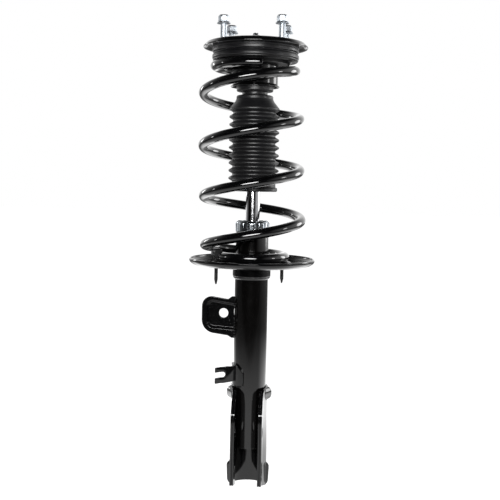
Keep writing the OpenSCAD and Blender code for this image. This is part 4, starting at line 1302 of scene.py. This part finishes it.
@dataclass
class Studio:
    """A pale floor, white surroundings behind the part, a dark room in front of it, and soft lamps."""

    floor_z: float = -0.6885
    floor_reach: float = 12.0
    distance: float = 1.35
    eye_z: float = -0.2154
    azimuth_deg: float = 4.0
    roll_deg: float = 1.08
    focal: float = 62.7
    shift: tuple[float, float] = (-0.0066, -0.136)
    lamps: tuple[SoftBox, ...] = (
        SoftBox("front_strip", (-0.02, -1.5, -0.02), (0, 0, -0.05), (1.0, 0.46), 19.0),
        SoftBox("right_box", (1.4, 0.8, 0), (0, 0, -0.1), (0.6, 0.9), 5.5),
        SoftBox("left_slit", (-1.3, 0.95, 0), (0, 0, -0.1), (0.2, 0.6), 1.8),
        SoftBox("right_kicker", (1.5, -0.43, 0), (0, 0, -0.15), (0.3, 0.35), 1.6),
        SoftBox("left_kicker", (-1.55, -0.1, 0), (0, 0, -0.15), (0.12, 0.3), 0.7))

    def build(self) -> None:
        """Sets up everything round the part."""
        scene = bpy.context.scene
        scene.view_settings.view_transform = "Standard"
        self._camera(scene)
        self._world(scene)
        self._floor(scene)
        for lamp in self.lamps:
            lamp.build()

    def _camera(self, scene: bpy.types.Scene) -> None:
        """Places the camera level with the boot, turned and shifted as the picture is framed.

        Args:
            scene: the scene that it goes in.
        """
        data = bpy.data.cameras.new("camera")
        data.lens, data.sensor_width = self.focal, 36.0
        data.shift_x, data.shift_y = self.shift
        data.clip_start, data.clip_end = 0.05, 50
        camera = bpy.data.objects.new("camera", data)
        scene.collection.objects.link(camera)
        a = math.radians(self.azimuth_deg)
        camera.location = (self.distance * math.sin(a), -self.distance * math.cos(a), self.eye_z)
        camera.rotation_euler = (math.pi / 2, 0, a)
        camera.rotation_euler.rotate_axis("Z", math.radians(self.roll_deg))
        scene.camera = camera

    def _world(self, scene: bpy.types.Scene) -> None:
        """White for the camera, and for the part white behind it up to a dark ceiling, and dark in front.

        Args:
            scene: the scene that it surrounds.
        """
        world = bpy.data.worlds.new("studio")
        world.use_nodes = True
        tree = world.node_tree
        tree.nodes.clear()
        axes = add(tree, "ShaderNodeSeparateXYZ", {0: add(tree, "ShaderNodeTexCoord").outputs["Generated"]})
        behind = self._horizon(tree, axes)
        ceiling = self._fade(tree, axes.outputs["Z"], 0.5, 0.8, 1.0, 0.03)
        level = add(tree, "ShaderNodeMath", {0: behind, 1: ceiling}, operation="MULTIPLY")
        room = add(tree, "ShaderNodeBackground", {"Color": WHITE, "Strength": level.outputs[0]})
        white = add(tree, "ShaderNodeBackground", {"Color": WHITE, "Strength": 1.0})
        rays = add(tree, "ShaderNodeLightPath")
        seen = add(tree, "ShaderNodeMixShader", {0: rays.outputs["Is Camera Ray"], 1: room.outputs[0],
                                                 2: white.outputs[0]})
        add(tree, "ShaderNodeOutputWorld", {"Surface": seen.outputs[0]})
        scene.world = world

    def _floor(self, scene: bpy.types.Scene) -> None:
        """A matt white floor that keeps the part's shadow. Glossy rays see a painted glow on it instead,
        brightest near the part.

        Args:
            scene: the scene that it goes in.
        """
        reach, level = self.floor_reach, self.floor_z
        mesh = bpy.data.meshes.new("floor")
        corners = [(x * reach, y * reach, level) for x, y in ((-1, -1), (1, -1), (1, 1), (-1, 1))]
        mesh.from_pydata(corners, [], [(0, 1, 2, 3)])
        paper = bpy.data.materials.new("studio_paper")
        paper.use_nodes = True
        tree = paper.node_tree
        tree.nodes.clear()
        matt = add(tree, "ShaderNodeBsdfDiffuse", {"Color": linear("e6e6e6")})
        glow = add(tree, "ShaderNodeEmission", {"Color": WHITE, "Strength": 0.93})
        shown = add(tree, "ShaderNodeAddShader", {0: matt.outputs[0], 1: glow.outputs[0]})
        place = add(tree, "ShaderNodeSeparateXYZ", {0: add(tree, "ShaderNodeTexCoord").outputs["Object"]})
        # Painted glow: glossy rays see the floor as an emission, a painted reflection of light round the part
        painted_glow = add(tree, "ShaderNodeEmission", {"Color": WHITE, "Strength": self._painted_floor_glow(tree, place)})
        rays = add(tree, "ShaderNodeLightPath")
        gloss = add(tree, "ShaderNodeMixShader", {0: rays.outputs["Is Glossy Ray"], 1: matt.outputs[0],
                                                  2: painted_glow.outputs[0]})
        seen = add(tree, "ShaderNodeMixShader", {0: rays.outputs["Is Camera Ray"], 1: gloss.outputs[0],
                                                 2: shown.outputs[0]})
        add(tree, "ShaderNodeOutputMaterial", {"Surface": seen.outputs[0]})
        mesh.materials.append(paper)
        floor = bpy.data.objects.new("floor", mesh)
        scene.collection.objects.link(floor)

    @staticmethod
    def _fade(tree: bpy.types.NodeTree, value: bpy.types.NodeSocket, low: float, high: float,
              first: float, last: float) -> bpy.types.NodeSocket:
        """Fades a value by the smooth step, from first at low to last at high."""
        span = {"Value": value, "From Min": low, "From Max": high, "To Min": first, "To Max": last}
        return add(tree, "ShaderNodeMapRange", span, interpolation_type="SMOOTHSTEP").outputs[0]

    def _horizon(self, tree: bpy.types.NodeTree, way: bpy.types.Node) -> bpy.types.NodeSocket:
        """How bright the room is near its horizon: 1.21 * ((y + 0.6) / 1.6) ** 2 and a wall on the right.

        Args:
            tree: the node tree.
            way: the node that splits the way into its shares to the right and to the back.

        Returns:
            The socket of the strength.
        """
        ramp = add(tree, "ShaderNodeMapRange", {"Value": way.outputs["Y"], "From Min": -0.6, "From Max": 1.0,
                                                "To Max": 1.1})
        back = add(tree, "ShaderNodeMath", {0: ramp.outputs[0], 1: 2.0}, operation="POWER")
        wall = self._fade(tree, way.outputs["X"], 0.5, 1.0, 0.0, 0.5)
        return add(tree, "ShaderNodeMath", {0: back.outputs[0], 1: wall}).outputs[0]

    def _painted_floor_glow(self, tree: bpy.types.NodeTree, place: bpy.types.Node) -> bpy.types.NodeSocket:
        """The painted glow that the floor shows in a gloss: a painted pool of light round the part, and the
        room far off.

        Args:
            tree: the floor's node tree.
            place: the node that splits the floor's point into X and Y.

        Returns:
            The socket of the strength.
        """
        flat = add(tree, "ShaderNodeCombineXYZ", {0: place.outputs["X"], 1: place.outputs["Y"]})
        away = add(tree, "ShaderNodeVectorMath", {0: flat.outputs[0]}, operation="LENGTH").outputs["Value"]
        way = add(tree, "ShaderNodeVectorMath", {0: flat.outputs[0]}, operation="NORMALIZE").outputs[0]
        # A painted pool of light, 0.8 round the part and fading to 0.06 at 1.5 m
        painted_pool = self._fade(tree, away, 0.4, 1.5, 0.8, 0.06)
        # Two painted bright lobes, right and left at the back: aim, where each fades in, and gain
        lobes = 0.0
        for aim, low, high, gain in (((1, 1, 0), 0.4, 1.2, 1.7), ((-0.5, 0.87, 0), 0.8, 0.95, 2.0)):
            along = add(tree, "ShaderNodeVectorMath", {0: way, 1: aim}, operation="DOT_PRODUCT")
            lobe = self._fade(tree, along.outputs["Value"], low, high, 0.0, gain)
            lobes = add(tree, "ShaderNodeMath", {0: lobe, 1: lobes}).outputs[0]
        front = self._fade(tree, place.outputs["Y"], -1.2, -0.85, 0.1, 1.0)
        # The painted lobes fade out within 0.5 m of the part, a painted shade next to it
        ring = self._fade(tree, away, 0.15, 0.5, 0.0, 1.0)
        painted_pool_ahead = add(tree, "ShaderNodeMath", {0: painted_pool, 1: front}, operation="MULTIPLY")
        gain = add(tree, "ShaderNodeMath", {0: lobes, 1: ring, 2: 1.0}, operation="MULTIPLY_ADD")
        near = add(tree, "ShaderNodeMath", {0: painted_pool_ahead.outputs[0], 1: gain.outputs[0]}, operation="MULTIPLY")
        far = self._fade(tree, away, 3.0, 6.0, 0.0, 1.0)
        room = self._horizon(tree, add(tree, "ShaderNodeSeparateXYZ", {0: way}))
        return add(tree, "ShaderNodeMix", {0: far, 2: near.outputs[0], 3: room}).outputs[0]


# ---------------------------------------------------------------- whole part


# Frame nodes inside the strut that keep their own meshes, and the finish of each
INNER_FINISHES = {
    "rebound_stop": NITRILE, "piston": SINTERED, "piston_band": NITRILE, "valve_shims": DRAWN_STEEL,
    "piston_nut": BARE_STEEL, "bearing_balls": BALL_STEEL, "pressure_tube": DRAWN_STEEL,
    "base_valve": SINTERED, "rod_guide": SINTERED, "guide_bush": BRONZE, "rod_seal": NITRILE,
}


def finish_inner_nodes() -> None:
    """Gives each frame node that keeps its mesh the material of the real part."""
    for name, finish in INNER_FINISHES.items():
        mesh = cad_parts[name].data
        mesh.materials.clear()
        mesh.materials.append(finish.material())
        LOG.info("%s keeps its mesh, in %s", name, finish.name)


def main() -> None:
    """Builds the looks of every sub-assembly and the studio."""
    logging.basicConfig(level=logging.INFO, format="%(name)s: %(message)s")
    for part in (TopMount(), BearingAndSeat(), BootAndStop(), CoilSpring(), Damper(), LowerSeat(),
                 KnuckleBracket(), LinkBracket(), HoseBracket()):
        LOG.info("building %s", type(part).__name__)
        part.build()
    finish_inner_nodes()
    Studio().build()


if __name__ == "__main__":
    main()
